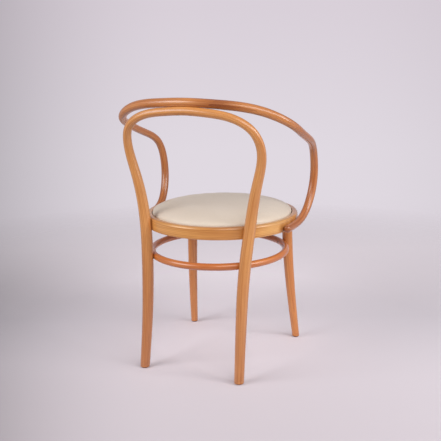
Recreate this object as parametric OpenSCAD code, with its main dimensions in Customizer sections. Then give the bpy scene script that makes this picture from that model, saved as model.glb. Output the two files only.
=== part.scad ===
// Bentwood armchair: two long steam-bent rods, a round upholstered seat
// and a stretcher hoop. Front faces -Y, floor at z = 0.

/* [Chair] */
// Height of the chair, floor to the top of the arm rail
chair_h = 760; // [720:1:800]
// Height of the seat ring's top face over the floor
seat_h = 421; // [400:1:440]
// Number of facets round a bent rod
rod_sides = 16; // [14:2:20]

/* [Seat ring] */
// Outer diameter of the bent seat ring
ring_d = 438; // [425:1:450]
// Width of the ring's wood from outer face to inner face
ring_w = 36; // [34:1:42]
// Height of the ring's wood
ring_t = 34; // [32:1:42]
// Width of the wooden rim left outside the cushion
rim_w = 16; // [12:0.5:18]
// Depth of the rebate that the seat board lies in
rebate_h = 12; // [11:0.5:14]
// Rounding of the ring's upper outer edge
ring_top_r = 7; // [3:0.5:9]
// Rounding of the ring's lower outer edge
ring_low_r = 3; // [1:0.5:5]

/* [Cushion] */
// Height of the cushion's crown over the seat ring's top face
crown_h = 26; // [20:1:36]
// Thickness of the leather cover
leather_t = 1.4; // [1:0.1:2]
// How far the cover draws in from its widest line down to the rebate
draw_in = 1; // [0.5:0.1:2]
// Width of the cover's hem turned in under the seat board
hem_w = 14; // [10:1:16]
// Thickness of the plywood seat board
board_t = 9; // [8:0.5:9.5]

/* [Back hoop and rear legs] */
// Distance of a rear foot's centre from the chair's middle plane
rear_foot_x = 145; // [135:1:155]
// How far the rear feet's centres stand behind the seat ring
rear_foot_out = 3; // [0:0.5:17]
// Height of the rear leg's slimmest stance
calf_h = 150; // [130:1:170]
// Half width of the rear legs at that height
calf_x = 143; // [135:1:152]
// How far the rear legs' axes lie inside the seat ring's back there
calf_in = 18; // [10:1:26]
// Half width of the rear legs where the stretcher meets them
rear_brace_x = 147.5; // [140:0.5:155]
// Half width of the rear legs where the seat ring meets them
rear_seat_x = 156; // [148:0.5:163]
// Half width of the hoop at its widest
hoop_x = 195.5; // [182:0.5:208]
// Height of the hoop's widest place
shoulder_h = 630; // [610:1:650]
// How far the hoop's top leans back behind the rear legs
hoop_lean = 50; // [36:1:60]
// Diameter of a rear leg at the foot
rear_foot_d = 26.5; // [24:0.5:29]
// Diameter of the rear leg at the seat
rear_seat_d = 31.5; // [28:0.5:34]
// Diameter of the hoop at its top
hoop_top_d = 23; // [21:0.5:26]

/* [Arm rail] */
// How far the rail's axis stands outside the seat ring at its widest
rail_out = 41; // [31:1:53]
// How far the arms' front bends lie in front of the seat's centre
arm_front_y = 105; // [92:1:118]
// Height of the arms' front bends, where the rail turns down
arm_bend_h = 602; // [588:1:618]
// Diameter of the rail behind the hoop
rail_back_d = 25.5; // [24:0.5:28]
// Diameter of the rail at the arms' front bends
rail_arm_d = 21.5; // [20:0.5:24]
// Diameter of the rail where the arms stand upright
rail_upright_d = 23; // [20:0.5:25]
// Diameter of the rail where its ends lie on the seat ring
rail_end_d = 21.5; // [18:0.5:23]
// Angle behind the ring's side point where an arm's end is screwed on
arm_seat_angle = 12; // [8:1:16]
// Length of the arm's end past its screw
arm_tip = 22; // [18:1:28]
// Angle by which the rail lies forward of the hoop's top
rail_turn = 18; // [12:1:30]
// Distance of the glued scarf joint from the chair's middle plane
scarf_x = 71; // [62:1:90]
// Length of the scarf along the rail
scarf_run = 32; // [28:1:45]

/* [Front legs] */
// Distance of a front foot's centre from the chair's middle plane
front_foot_x = 176; // [166:1:186]
// How far the front feet's centres lie inside the seat ring's front
front_foot_in = 64; // [54:1:74]
// Half width of the front legs where the stretcher meets them
front_brace_x = 159; // [152:1:164]
// Half width of the front legs at the seat ring
front_seat_x = 157; // [150:1:162]
// Depth of the front leg's axis inside the ring's outer face
front_inset = 21; // [18:0.5:23]
// Diameter of a front leg at the foot
front_foot_d = 21.5; // [20:0.5:25]
// Diameter of a front leg at the seat ring
front_top_d = 30; // [26:0.5:32]
// Diameter of the tenon on top of a front leg
tenon_d = 20; // [16:0.5:22]
// Length of that tenon
tenon_l = 17; // [14:0.5:18]

/* [Stretcher] */
// Diameter of the stretcher hoop along its rod's centre
brace_d = 386; // [380:1:392]
// Diameter of the stretcher's rod
brace_rod_d = 19.5; // [18:0.5:23]
// Distance of the stretcher's centre under the seat ring's top face
brace_drop = 108; // [86:1:130]
// Distance of the stretcher's centre behind the seat's centre
brace_y = 24; // [19:1:29]

/* [Fittings] */
// Thickness of the foot glides under the legs
glide_h = 3; // [2:0.5:5]
// Diameter of the foot glides
glide_d = 17; // [14:0.5:19]
// Diameter of a glide's push-in pin
glide_pin_d = 5; // [4:0.5:6]
// Length of a glide's pin
glide_pin_l = 14; // [10:1:20]
// Shank diameter of the screws that hold the rear legs
leg_screw_d = 6; // [5:0.5:8]
// Depth of those screws in the legs
leg_screw_bite = 20; // [14:1:22]
// Width over the flats of their hexagon heads
leg_screw_hex = 10; // [9:0.5:13]
// Diameter of their washers
washer_d = 16; // [15:0.5:18]
// Thickness of their washers
washer_t = 1.5; // [1:0.1:2.5]
// Shank diameter of the countersunk wood screws
wood_screw_d = 4; // [3.5:0.5:5]
// Depth of a wood screw in the second piece of wood
wood_screw_bite = 12; // [8:1:13]

/* [Hidden] */
$fn = 48;
ring_facets = 180;

// Clearances and cuts
fit_gap = 0.15;
soft_gap = 0.3;
overrun = 2;
flat_depth = 1.2;
foot_chamfer = 1.5;
spline_passes = 16;
span_steps = 5;
nose_steps = 4;

// Seat ring
ring_r = ring_d/2;
ring_in_r = ring_r - ring_w;
rebate_r = ring_r - rim_w;
ring_low_z = seat_h - ring_t;
ring_mid_z = seat_h - ring_t/2;
rebate_z = seat_h - rebate_h;
flat_r = ring_r - flat_depth;
edge_steps = 8;

// Stretcher
brace_h = seat_h - brace_drop;
brace_r = brace_d/2;
brace_rod_r = brace_rod_d/2;
brace_flat_r = brace_r + brace_rod_r - flat_depth;
brace_flat_h = brace_rod_d*0.7;

// Rear legs: they lie on flats of the seat ring and of the stretcher. Both shares
// tell how far a diameter has grown from the foot's to the seat's
calf_d_share = 0.76;
rear_brace_d_share = 1.18;
rear_foot_y = ring_r + rear_foot_out;
calf_y = ring_r - calf_in;
rear_seat_rad = flat_r + rear_seat_d/2 - flat_depth;
rear_seat_y = sqrt(rear_seat_rad*rear_seat_rad - rear_seat_x*rear_seat_x);
rear_seat_angle = atan2(rear_seat_y, rear_seat_x);
rear_brace_d = rear_foot_d + (rear_seat_d - rear_foot_d)*rear_brace_d_share;
rear_brace_rad = brace_flat_r + rear_brace_d/2 - flat_depth;
rear_brace_y = brace_y + sqrt(rear_brace_rad*rear_brace_rad - rear_brace_x*rear_brace_x);
rear_brace_angle = atan2(rear_brace_y - brace_y, rear_brace_x);
calf_d = rear_foot_d + (rear_seat_d - rear_foot_d)*calf_d_share;

// Rail over the hoop's top, both planed flat where they meet
rail_z = chair_h - rail_back_d/2;
top_gap = rail_back_d/2 + hoop_top_d/2 - 2*flat_depth;
hoop_top_z = rail_z - top_gap*cos(rail_turn);
hoop_top_y = rear_seat_y + hoop_lean;
rail_back_y = hoop_top_y - top_gap*sin(rail_turn);

// Straight stretch of the hoop between the seat and its widest place
waist_share = 0.6;
waist_slim_share = 0.5;
waist_h = ring_mid_z + (shoulder_h - ring_mid_z)*waist_share;
waist_x = rear_seat_x + (hoop_x - rear_seat_x)*waist_share;
waist_d = rear_seat_d + (hoop_top_d - rear_seat_d)*waist_slim_share;
// Hoop above that: shares of its half width, rise, lean and slimming
hoop_shares = [
    [1, 0, 0.26, 0.12],
    [0.915, 0.51, 0.62, -0.08],
    [0.66, 0.84, 0.87, -0.08],
    [0.30, 0.965, 0.98, -0.03]
];
hoop_half = concat(
    [
        [rear_foot_x, rear_foot_y, glide_h, rear_foot_d/2],
        [calf_x, calf_y, calf_h, calf_d/2],
        [rear_brace_x, rear_brace_y, brace_h, rear_brace_d/2],
        [rear_seat_x, rear_seat_y, ring_mid_z, rear_seat_d/2],
        [waist_x, rear_seat_y, waist_h, waist_d/2]
    ],
    [for (s = hoop_shares) [
        hoop_x*s[0],
        rear_seat_y + hoop_lean*s[2],
        shoulder_h + (hoop_top_z - shoulder_h)*s[1],
        (hoop_top_d + (rear_seat_d - hoop_top_d)*s[3])/2
    ]]
);
hoop_top = [0, hoop_top_y, hoop_top_z, hoop_top_d/2];

// Rail from its back to the arm's front bend: shares of half width,
// of the run forward, of the drop to the bend, and of the slimming
rail_shares = [
    [0.28, 0.03, 0.02, 0.05],
    [0.765, 0.165, 0.165, 0.3],
    [0.97, 0.315, 0.395, 0.85],
    [1, 0.515, 0.6, 1],
    [0.993, 0.725, 0.77, 1],
    [0.958, 0.915, 1, 1]
];
// Arm below the bend: shares of half width, of the reach in front of the seat's
// centre, of the drop from the bend to the seat ring, and of the upright's diameter
arm_shares = [
    [0.94, 1, 0.33, 0.5],
    [0.922, 0.93, 0.625, 1],
    [0.893, 0.565, 0.895, 0.4]
];
arm_end_z = ring_mid_z - rail_end_d/4;
arm_end_rad = ring_r + rail_end_d/2 - flat_depth;
arm_end_x = arm_end_rad*cos(arm_seat_angle);
arm_end_y = arm_end_rad*sin(arm_seat_angle);
arm_run = rail_back_y + arm_front_y;
rail_x = ring_r + rail_out;
rail_back = [0, rail_back_y, rail_z, rail_back_d/2];
rail_half = concat(
    [for (s = rail_shares) [
        rail_x*s[0],
        rail_back_y - arm_run*s[1],
        rail_z - (rail_z - arm_bend_h)*s[2],
        (rail_back_d + (rail_arm_d - rail_back_d)*s[3])/2
    ]],
    [for (s = arm_shares) [
        rail_x*s[0],
        -arm_front_y*s[1],
        arm_bend_h - (arm_bend_h - arm_end_z)*s[2],
        (rail_arm_d + (rail_upright_d - rail_arm_d)*s[3])/2
    ]],
    [[arm_end_x, arm_end_y, arm_end_z, rail_end_d/2]]
);

// Front legs: shoulder under the ring, flat against the stretcher
front_foot_y = ring_r - front_foot_in;
front_seat_rad = ring_r - front_inset;
front_seat_y = -sqrt(front_seat_rad*front_seat_rad - front_seat_x*front_seat_x);
front_brace_rad = brace_flat_r + front_top_d/2 - flat_depth;
front_brace_y = brace_y - sqrt(front_brace_rad*front_brace_rad - front_brace_x*front_brace_x);
front_brace_angle = atan2(front_brace_y - brace_y, front_brace_x);
front_seat_angle = atan2(front_seat_y, front_seat_x);
// Knee of the front leg: shares of its spread, its reach, its height and its thickening
knee_shares = [0.25, 0.16, 0.55, 0.78];
front_knee_d = front_foot_d + (front_top_d - front_foot_d)*knee_shares[3];
front_knee = [
    front_brace_x + (front_foot_x - front_brace_x)*knee_shares[0],
    front_brace_y - (front_foot_y + front_brace_y)*knee_shares[1],
    glide_h + (ring_low_z - glide_h)*knee_shares[2],
    front_knee_d/2
];
front_rows = [
    [front_foot_x, -front_foot_y, glide_h, front_foot_d/2],
    front_knee,
    [front_brace_x, front_brace_y, brace_h, front_top_d/2],
    [front_seat_x, front_seat_y, ring_low_z, front_top_d/2]
];

// Cushion in the rebate
cover_r = rebate_r - fit_gap*2;
cover_in_r = cover_r - leather_t;
cover_low_r = cover_r - draw_in;
board_r = cover_low_r - leather_t - soft_gap;
board_z = rebate_z + leather_t + fit_gap;
foam_z = board_z + board_t;
crown_powers = [4.5, 2];
crown_steps = 20;

// Screws
lip_r = (ring_in_r + rebate_r)/2;
head_d = wood_screw_d*2;
head_t = wood_screw_d*0.6;
leg_head_t = leg_screw_hex*0.45;
spot_d = washer_d + 2*soft_gap;
spot_depth = ring_in_r - sqrt(ring_in_r*ring_in_r - spot_d*spot_d/4) + washer_t/2;
spot_r = ring_in_r + spot_depth;
leg_screw_z = (ring_low_z + rebate_z)/2;
board_bite = board_t*0.7;
board_screw_angles = [25, 155, 245, 295];
hoop_screw_x = hoop_top_d*0.8;
tenon_bite = tenon_d*0.75;

// The frame's origin lies under the middle of the whole chair
back_y = max(rear_foot_y + rear_foot_d/2, hoop_top_y + hoop_top_d/2);
mid_y = (back_y - ring_r)/2;

function unit(v) = v/norm(v);
function place(row) = [row[0], row[1], row[2]];
function spans(p) = [for (i = [0:len(p) - 2]) norm(place(p[i + 1]) - place(p[i]))];
function flip(rows) = [for (i = [len(rows) - 1:-1:0]) rows[i]];
function mirrored(rows) = [for (r = rows) [-r[0], r[1], r[2], r[3]]];

// Slopes of the smooth curve through the stations, by repeated averaging
function slopes(p, h, m, left) = left == 0 ? m : slopes(p, h, [
    for (i = [0:len(p) - 1])
        i == 0 ? (3*(p[1] - p[0])/h[0] - m[1])/2
        : i == len(p) - 1 ? (3*(p[i] - p[i - 1])/h[i - 1] - m[i - 1])/2
        : (3*(h[i]*(p[i] - p[i - 1])/h[i - 1] + h[i - 1]*(p[i + 1] - p[i])/h[i])
            - h[i]*m[i - 1] - h[i - 1]*m[i + 1])/(2*(h[i - 1] + h[i]))
], left - 1);
function between(a, b, ma, mb, h, t) =
    a*(2*t*t*t - 3*t*t + 1) + ma*h*(t*t*t - 2*t*t + t)
    + b*(3*t*t - 2*t*t*t) + mb*h*(t*t*t - t*t);
function smooth(p) =
    let (h = spans(p), m = slopes(p, h, [for (r = p) r*0], spline_passes))
    concat(
        [for (i = [0:len(p) - 2]) for (k = [0:span_steps - 1])
            between(p[i], p[i + 1], m[i], m[i + 1], h[i], k/span_steps)],
        [p[len(p) - 1]]
    );

// Directions along sampled rows, level at ends that stand or bear flat
function headings(q, level_start, level_end) = [
    for (i = [0:len(q) - 1])
        i == 0 && level_start ? [0, 0, sign(q[1][2] - q[0][2])]
        : i == len(q) - 1 && level_end ? [0, 0, sign(q[i][2] - q[i - 1][2])]
        : unit(place(q[min(i + 1, len(q) - 1)]) - place(q[max(i - 1, 0)]))
];
function square_to(u, t) = unit(u - (u*t)*t);
function carried(t, first) = [
    for (i = 0, u = square_to(first, t[0]); i < len(t);
        i = i + 1, u = i < len(t) ? square_to(u, t[i]) : u) u
];

// A round rod swept along rows of place and radius
module sweep(q, first, level_start = false, level_end = false) {
    t = headings(q, level_start, level_end);
    u = carried(t, first);
    n = rod_sides;
    last = len(q) - 1;
    points = [for (i = [0:last]) for (k = [0:n - 1])
        place(q[i]) + q[i][3]*(cos(360*k/n)*u[i] + sin(360*k/n)*cross(t[i], u[i]))];
    walls = [for (i = [0:last - 1]) for (k = [0:n - 1]) for (half = [0, 1])
        let (a = i*n + k, b = i*n + (k + 1)%n)
        half == 0 ? [a, b + n, b] : [a, a + n, b + n]];
    caps = [
        [for (k = [0:n - 1]) k],
        [for (k = [n - 1:-1:0]) last*n + k]
    ];
    polyhedron(points, concat(walls, caps), convexity = 6);
}
// Rows of a standing foot, with its small chamfer below
function standing(q) = concat(
    [[q[0][0], q[0][1], q[0][2], q[0][3] - foot_chamfer]],
    [[q[0][0], q[0][1], q[0][2] + foot_chamfer, q[0][3]]],
    [for (i = [1:len(q) - 1]) q[i]]
);
// Straight end with a round nose, past the last row
function nosed(q) =
    let (a = q[len(q) - 1], d = unit(place(a) - place(q[len(q) - 2])), r = a[3])
    [for (k = [0:nose_steps])
        let (w = 84*k/nose_steps, s = arm_tip - r + r*sin(w))
        [a[0] + d[0]*s, a[1] + d[1]*s, a[2] + d[2]*s, r*cos(w)]];

// Places things at an angle round a ring, looking outwards along +X
module round_at(angle, y, z) {
    translate([0, y, z])
        rotate([0, 0, angle])
            children();
}
module both_sides() {
    children();
    mirror([1, 0, 0])
        children();
}
module placed() {
    translate([0, -mid_y, 0])
        children();
}

// Block that planes a flat on the side of a rod that faces the middle
module flat_tool(reach, wide, tall) {
    translate([reach - wide, -wide/2, -tall/2])
        cube([wide, wide, tall]);
}
module flats_on_rear_leg() {
    at_rear_seat()
        flat_tool(flat_r, 2*rear_seat_d, ring_t);
    at_rear_brace()
        flat_tool(brace_flat_r, 2*rear_seat_d, brace_flat_h);
}

// Hole along +X from reach, with a countersink at its mouth
module screw_hole(reach, long) {
    translate([reach, 0, 0])
        rotate([0, 90, 0])
            cylinder(d = wood_screw_d + 2*fit_gap, h = long);
}
module head_hole(reach, back) {
    translate([reach - back, 0, 0])
        rotate([0, 90, 0])
            cylinder(d = head_d + 2*fit_gap, h = back + head_t);
}
module wood_screw(reach, long) {
    translate([reach, 0, 0])
        rotate([0, 90, 0])
            union() {
                cylinder(d = head_d, h = head_t);
                cylinder(d = wood_screw_d, h = long - wood_screw_d);
                translate([0, 0, long - wood_screw_d])
                    cylinder(d1 = wood_screw_d, d2 = wood_screw_d/8, h = wood_screw_d);
            }
}

// Where each set of wood screws starts, inside its first piece
arm_screw_at = ring_in_r + ring_w/3;
arm_screw_l = ring_r + wood_screw_bite - arm_screw_at;
tenon_screw_at = ring_in_r + fit_gap;
tenon_screw_l = front_seat_rad + tenon_bite/2 - tenon_screw_at;
brace_screw_at = brace_r - brace_rod_r + head_t/2;
brace_screw_l = brace_flat_r + wood_screw_bite - brace_screw_at;
hoop_flat = hoop_top_d/2 - flat_depth;
hoop_screw_at = head_t/2 - hoop_top_d/2;

module at_arm_end() {
    round_at(arm_seat_angle, 0, arm_end_z)
        children();
}
module at_tenon() {
    round_at(front_seat_angle, 0, ring_low_z + tenon_l/2)
        children();
}
module at_rear_brace() {
    round_at(rear_brace_angle, brace_y, brace_h)
        children();
}
module at_front_brace() {
    round_at(front_brace_angle, brace_y, brace_h)
        children();
}
module at_rear_seat() {
    round_at(rear_seat_angle, 0, ring_mid_z)
        children();
}
module at_leg_screw() {
    round_at(rear_seat_angle, 0, leg_screw_z)
        children();
}
// Below the hoop's top, looking up through the hoop into the rail
module at_hoop_screws() {
    for (side = [-1, 1])
        translate([side*hoop_screw_x, hoop_top_y, hoop_top_z])
            rotate([rail_turn, 0, 0])
                rotate([0, -90, 0])
                    children();
}

module back_hoop() {
    half = smooth(concat(hoop_half, [hoop_top], flip(mirrored(hoop_half))));
    feet = flip(standing(flip(standing(half))));
    color("peru")
        placed()
            difference() {
                sweep(feet, [0, 1, 0], true, true);
                both_sides() {
                    flats_on_rear_leg();
                    at_leg_screw()
                        translate([flat_r - overrun, 0, 0])
                            rotate([0, 90, 0])
                                cylinder(d = leg_screw_d + 2*fit_gap, h = overrun + leg_screw_bite + fit_gap);
                    at_rear_brace()
                        screw_hole(brace_flat_r - overrun, overrun + wood_screw_bite + fit_gap);
                    glide_socket(rear_foot_x, rear_foot_y);
                }
                top_flat(1);
                at_hoop_screws()
                    union() {
                        screw_hole(-hoop_top_d, 2*hoop_top_d);
                        head_hole(hoop_screw_at, hoop_top_d);
                    }
            }
}
// Block on one side of the plane between the hoop's top and the rail:
// side 1 lies above the hoop, side -1 below the rail
module top_flat(side) {
    deep = 2*rail_back_d;
    translate([0, hoop_top_y, hoop_top_z])
        rotate([rail_turn, 0, 0])
            translate([-hoop_x/2, -deep/2, side > 0 ? hoop_flat : hoop_flat - deep/2])
                cube([hoop_x, deep, deep/2]);
}
module glide_socket(x, y) {
    translate([x, y, glide_h - overrun])
        cylinder(d = glide_pin_d + 2*fit_gap, h = overrun + glide_pin_l + fit_gap);
}

module rail_whole() {
    bent = smooth(concat(flip(mirrored(rail_half)), [rail_back], rail_half));
    ends = concat(flip(nosed(flip(bent))), bent, nosed(bent));
    difference() {
        sweep(ends, [0, 0, 1]);
        top_flat(-1);
        at_hoop_screws()
            screw_hole(hoop_flat - overrun, overrun + wood_screw_bite + fit_gap);
        translate([0, 0, ring_low_z - ring_t])
            cylinder(r = ring_r, h = 2*ring_t, $fn = ring_facets);
        both_sides()
            at_arm_end()
                screw_hole(ring_r - overrun, overrun + wood_screw_bite + fit_gap);
    }
}
// All of the rail on the left of the scarf joint
module scarf_side() {
    far = 2*rail_x;
    low = rail_z - rail_back_d/2;
    high = rail_z + rail_back_d/2;
    translate([0, far, 0])
        rotate([90, 0, 0])
            linear_extrude(2*far)
                polygon([
                    [far, high + overrun],
                    [far, 0],
                    [-scarf_x + scarf_run/2, 0],
                    [-scarf_x + scarf_run/2, low],
                    [-scarf_x - scarf_run/2, high],
                    [-scarf_x - scarf_run/2, high + overrun]
                ]);
}
module rail_left() {
    color("chocolate")
        placed()
            intersection() {
                rail_whole();
                scarf_side();
            }
}
module rail_right() {
    color("sienna")
        placed()
            difference() {
                rail_whole();
                scarf_side();
            }
}

module front_leg() {
    leg = standing(smooth(front_rows));
    difference() {
        union() {
            sweep(leg, [0, 1, 0], true, true);
            translate([front_seat_x, front_seat_y, ring_low_z - overrun])
                cylinder(d = tenon_d, h = tenon_l + overrun);
        }
        at_front_brace()
            union() {
                flat_tool(brace_flat_r, 2*front_top_d, brace_flat_h);
                screw_hole(brace_flat_r - overrun, overrun + wood_screw_bite + fit_gap);
            }
        at_tenon()
            screw_hole(tenon_screw_at, tenon_screw_l + fit_gap);
        glide_socket(front_foot_x, -front_foot_y);
    }
}
module front_leg_left() {
    color("burlywood")
        placed()
            front_leg();
}
module front_leg_right() {
    color("burlywood")
        placed()
            mirror([1, 0, 0])
                front_leg();
}

// Ring section: rounded outside, rebate for the board inside
function edge(cx, cy, r, from) = [for (k = [0:edge_steps])
    [cx + r*cos(from + 90*k/edge_steps), cy + r*sin(from + 90*k/edge_steps)]];
module ring_section() {
    polygon(concat(
        [[ring_in_r, rebate_z], [ring_in_r, ring_low_z]],
        edge(ring_r - ring_low_r, ring_low_z + ring_low_r, ring_low_r, -90),
        edge(ring_r - ring_top_r, seat_h - ring_top_r, ring_top_r, 0),
        [[rebate_r, seat_h], [rebate_r, rebate_z]]
    ));
}
module seat_ring() {
    color("goldenrod")
        placed()
            difference() {
                rotate_extrude($fn = ring_facets)
                    ring_section();
                both_sides() {
                    at_rear_seat()
                        translate([flat_r, -ring_w, -ring_t])
                            cube([ring_w, 2*ring_w, 2*ring_t]);
                    at_leg_screw()
                        translate([ring_in_r - ring_w, 0, 0])
                            rotate([0, 90, 0])
                                union() {
                                    cylinder(d = leg_screw_d + 2*fit_gap, h = 3*ring_w);
                                    cylinder(d = spot_d, h = ring_w + spot_depth);
                                }
                    at_arm_end()
                        union() {
                            screw_hole(ring_in_r - overrun, 2*ring_w);
                            head_hole(arm_screw_at, ring_w);
                        }
                    at_tenon()
                        union() {
                            screw_hole(ring_in_r - overrun, overrun + front_seat_rad - ring_in_r);
                            head_hole(tenon_screw_at, ring_w);
                        }
                    translate([front_seat_x, front_seat_y, ring_low_z - overrun])
                        cylinder(d = tenon_d + 2*fit_gap, h = overrun + tenon_l + soft_gap);
                }
                at_board_screws()
                    union() {
                        translate([0, 0, -overrun])
                            cylinder(d = wood_screw_d + 2*fit_gap, h = 2*ring_t);
                        translate([0, 0, -overrun])
                            cylinder(d = head_d + 2*fit_gap, h = overrun + 2*head_t);
                    }
            }
}
module at_board_screws() {
    for (a = board_screw_angles)
        rotate([0, 0, a])
            translate([lip_r, 0, ring_low_z])
                children();
}

module stretcher() {
    color("peru")
        placed()
            difference() {
                translate([0, brace_y, brace_h])
                    rotate_extrude($fn = ring_facets)
                        translate([brace_r, 0])
                            circle(r = brace_rod_r);
                both_sides() {
                    at_rear_brace()
                        brace_cuts();
                    at_front_brace()
                        brace_cuts();
                }
            }
}
module brace_cuts() {
    translate([brace_flat_r, -brace_rod_d, -brace_rod_d])
        cube([brace_rod_d, 2*brace_rod_d, 2*brace_rod_d]);
    screw_hole(brace_r - brace_rod_d, 2*brace_rod_d);
    head_hole(brace_screw_at, brace_rod_d);
}

module seat_board() {
    color("tan")
        placed()
            difference() {
                translate([0, 0, board_z])
                    cylinder(r = board_r, h = board_t, $fn = ring_facets);
                at_board_screws()
                    cylinder(d = wood_screw_d + 2*fit_gap, h = board_z - ring_low_z + board_bite + fit_gap);
            }
}
// Quarter outline of the crown, from its rim up to the middle
function crown(r, h) = [for (k = [0:crown_steps])
    let (w = 90*k/crown_steps)
    [r*pow(cos(w), 2/crown_powers[0]), seat_h + h*pow(sin(w), 2/crown_powers[1])]];
module seat_foam() {
    gap = leather_t + soft_gap;
    color("khaki")
        placed()
            rotate_extrude($fn = ring_facets)
                polygon(concat(
                    [[0, foam_z], [board_r, foam_z]],
                    crown(cover_r - gap, crown_h - gap)
                ));
}
module seat_cover() {
    color("linen")
        placed()
            difference() {
                rotate_extrude($fn = ring_facets)
                    polygon(concat(
                        [[cover_low_r - hem_w, rebate_z + fit_gap], [cover_low_r, rebate_z + fit_gap]],
                        crown(cover_r, crown_h),
                        flip(crown(cover_in_r, crown_h - leather_t)),
                        [
                            [cover_low_r - leather_t, board_z],
                            [cover_low_r - hem_w, board_z]
                        ]
                    ));
                at_board_screws()
                    cylinder(d = wood_screw_d + 2*fit_gap, h = board_z - ring_low_z + board_bite);
            }
}

module rear_leg_screws() {
    hex_r = leg_screw_hex/sqrt(3);
    head_at = spot_r - washer_t;
    color("silver")
        placed()
            both_sides()
                at_leg_screw()
                    translate([head_at - leg_head_t, 0, 0])
                        rotate([0, 90, 0])
                            union() {
                                cylinder(r = hex_r, h = leg_head_t, $fn = 6);
                                cylinder(d = leg_screw_d, h = flat_r + leg_screw_bite - head_at + leg_head_t);
                            }
}
module rear_leg_washers() {
    color("silver")
        placed()
            both_sides()
                at_leg_screw()
                    translate([spot_r - washer_t, 0, 0])
                        rotate([0, 90, 0])
                            difference() {
                                cylinder(d = washer_d, h = washer_t);
                                translate([0, 0, -overrun])
                                    cylinder(d = leg_screw_d + 2*fit_gap, h = washer_t + 2*overrun);
                            }
}
module arm_screws() {
    color("silver")
        placed()
            both_sides()
                at_arm_end()
                    wood_screw(arm_screw_at, arm_screw_l);
}
module tenon_screws() {
    color("silver")
        placed()
            both_sides()
                at_tenon()
                    wood_screw(tenon_screw_at, tenon_screw_l);
}
module stretcher_screws() {
    color("silver")
        placed()
            both_sides() {
                at_rear_brace()
                    wood_screw(brace_screw_at, brace_screw_l);
                at_front_brace()
                    wood_screw(brace_screw_at, brace_screw_l);
            }
}
module hoop_screws() {
    color("silver")
        placed()
            at_hoop_screws()
                wood_screw(hoop_screw_at, hoop_flat + wood_screw_bite - hoop_screw_at);
}
module board_screws() {
    long = board_z + board_bite - ring_low_z - head_t;
    color("silver")
        placed()
            at_board_screws()
                translate([0, 0, head_t])
                    rotate([0, -90, 0])
                        wood_screw(0, long);
}

module glide(x, y) {
    color("dimgray")
        placed()
            translate([x, y, 0])
                union() {
                    cylinder(d = glide_d, h = glide_h);
                    cylinder(d = glide_pin_d, h = glide_h + glide_pin_l);
                }
}
module glide_rear_left() {
    glide(rear_foot_x, rear_foot_y);
}
module glide_rear_right() {
    glide(-rear_foot_x, rear_foot_y);
}
module glide_front_left() {
    glide(front_foot_x, -front_foot_y);
}
module glide_front_right() {
    glide(-front_foot_x, -front_foot_y);
}

back_hoop();
rail_left();
rail_right();
front_leg_left();
front_leg_right();
seat_ring();
stretcher();
seat_board();
seat_foam();
seat_cover();
rear_leg_screws();
rear_leg_washers();
arm_screws();
stretcher_screws();
hoop_screws();
tenon_screws();
board_screws();
glide_rear_left();
glide_rear_right();
glide_front_left();
glide_front_right();
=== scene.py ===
import math

import bmesh
import bpy
import numpy as np
from mathutils import Matrix, Vector
from mathutils.kdtree import KDTree


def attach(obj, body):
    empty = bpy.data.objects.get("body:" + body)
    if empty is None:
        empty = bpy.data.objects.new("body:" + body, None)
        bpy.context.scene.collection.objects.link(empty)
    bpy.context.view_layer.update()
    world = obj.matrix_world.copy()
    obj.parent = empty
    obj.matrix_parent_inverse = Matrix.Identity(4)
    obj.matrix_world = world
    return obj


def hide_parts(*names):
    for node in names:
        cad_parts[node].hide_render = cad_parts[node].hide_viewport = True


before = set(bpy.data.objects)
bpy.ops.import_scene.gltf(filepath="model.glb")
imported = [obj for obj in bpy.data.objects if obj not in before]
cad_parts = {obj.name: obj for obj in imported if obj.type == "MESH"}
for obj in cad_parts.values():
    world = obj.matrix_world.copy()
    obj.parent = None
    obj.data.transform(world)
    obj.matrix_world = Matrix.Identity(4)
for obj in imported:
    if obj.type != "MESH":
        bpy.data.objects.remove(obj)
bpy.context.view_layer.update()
scene = bpy.context.scene
mm = 0.001
seatY = -8.125 * mm  # the seat ring's middle lies a little in front of the frame's origin
print("frame loaded,", len(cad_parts), "nodes")


def tone(r, g, b):  # screen colour, 0 to 255, as a linear colour
    def curve(v):
        v = v / 255
        return v / 12.92 if v <= 0.04045 else ((v + 0.055) / 1.055) ** 2.4
    return (curve(r), curve(g), curve(b), 1.0)


def tinted(colour, tint):  # a colour times a tint of one number or three
    tint = tint if isinstance(tint, tuple) else (tint,) * 3
    return tuple(c * k for c, k in zip(colour, tint)) + (1.0,)


def linkNew(name, data):
    obj = bpy.data.objects.new(name, data)
    scene.collection.objects.link(obj)
    return obj


def fromBmesh(bm, name):
    mesh = bpy.data.meshes.new(name)
    bm.to_mesh(mesh)
    bm.free()
    return linkNew(name, mesh)


def withBmesh(piece, work):
    bm = bmesh.new()
    bm.from_mesh(piece.data)
    work(bm)
    bm.to_mesh(piece.data)
    bm.free()
    piece.data.update()


def baked(obj, name):  # the evaluated result as a plain mesh of its own
    graph = bpy.context.evaluated_depsgraph_get()
    mesh = bpy.data.meshes.new_from_object(obj.evaluated_get(graph), depsgraph=graph)
    mesh.name = name
    bpy.data.objects.remove(obj)
    return linkNew(name, mesh)


def points(piece):
    co = np.zeros(len(piece.data.vertices) * 3)
    piece.data.vertices.foreach_get("co", co)
    return co.reshape(-1, 3)


def movePoints(piece, co):
    piece.data.vertices.foreach_set("co", co.ravel())
    piece.data.update()


def giveMaterial(piece, material):
    piece.data.materials.clear()
    piece.data.materials.append(material)


def dressed(piece, material, angle=35):  # its material, and smooth but for edges sharper than the angle
    giveMaterial(piece, material)
    piece.data.shade_smooth()
    piece.data.set_sharp_from_angle(angle=math.radians(angle))
    return piece


def seated(piece, slot, *nodes):  # every piece of the chair rides on its one body
    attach(piece, "root")
    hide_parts(*nodes)


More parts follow.
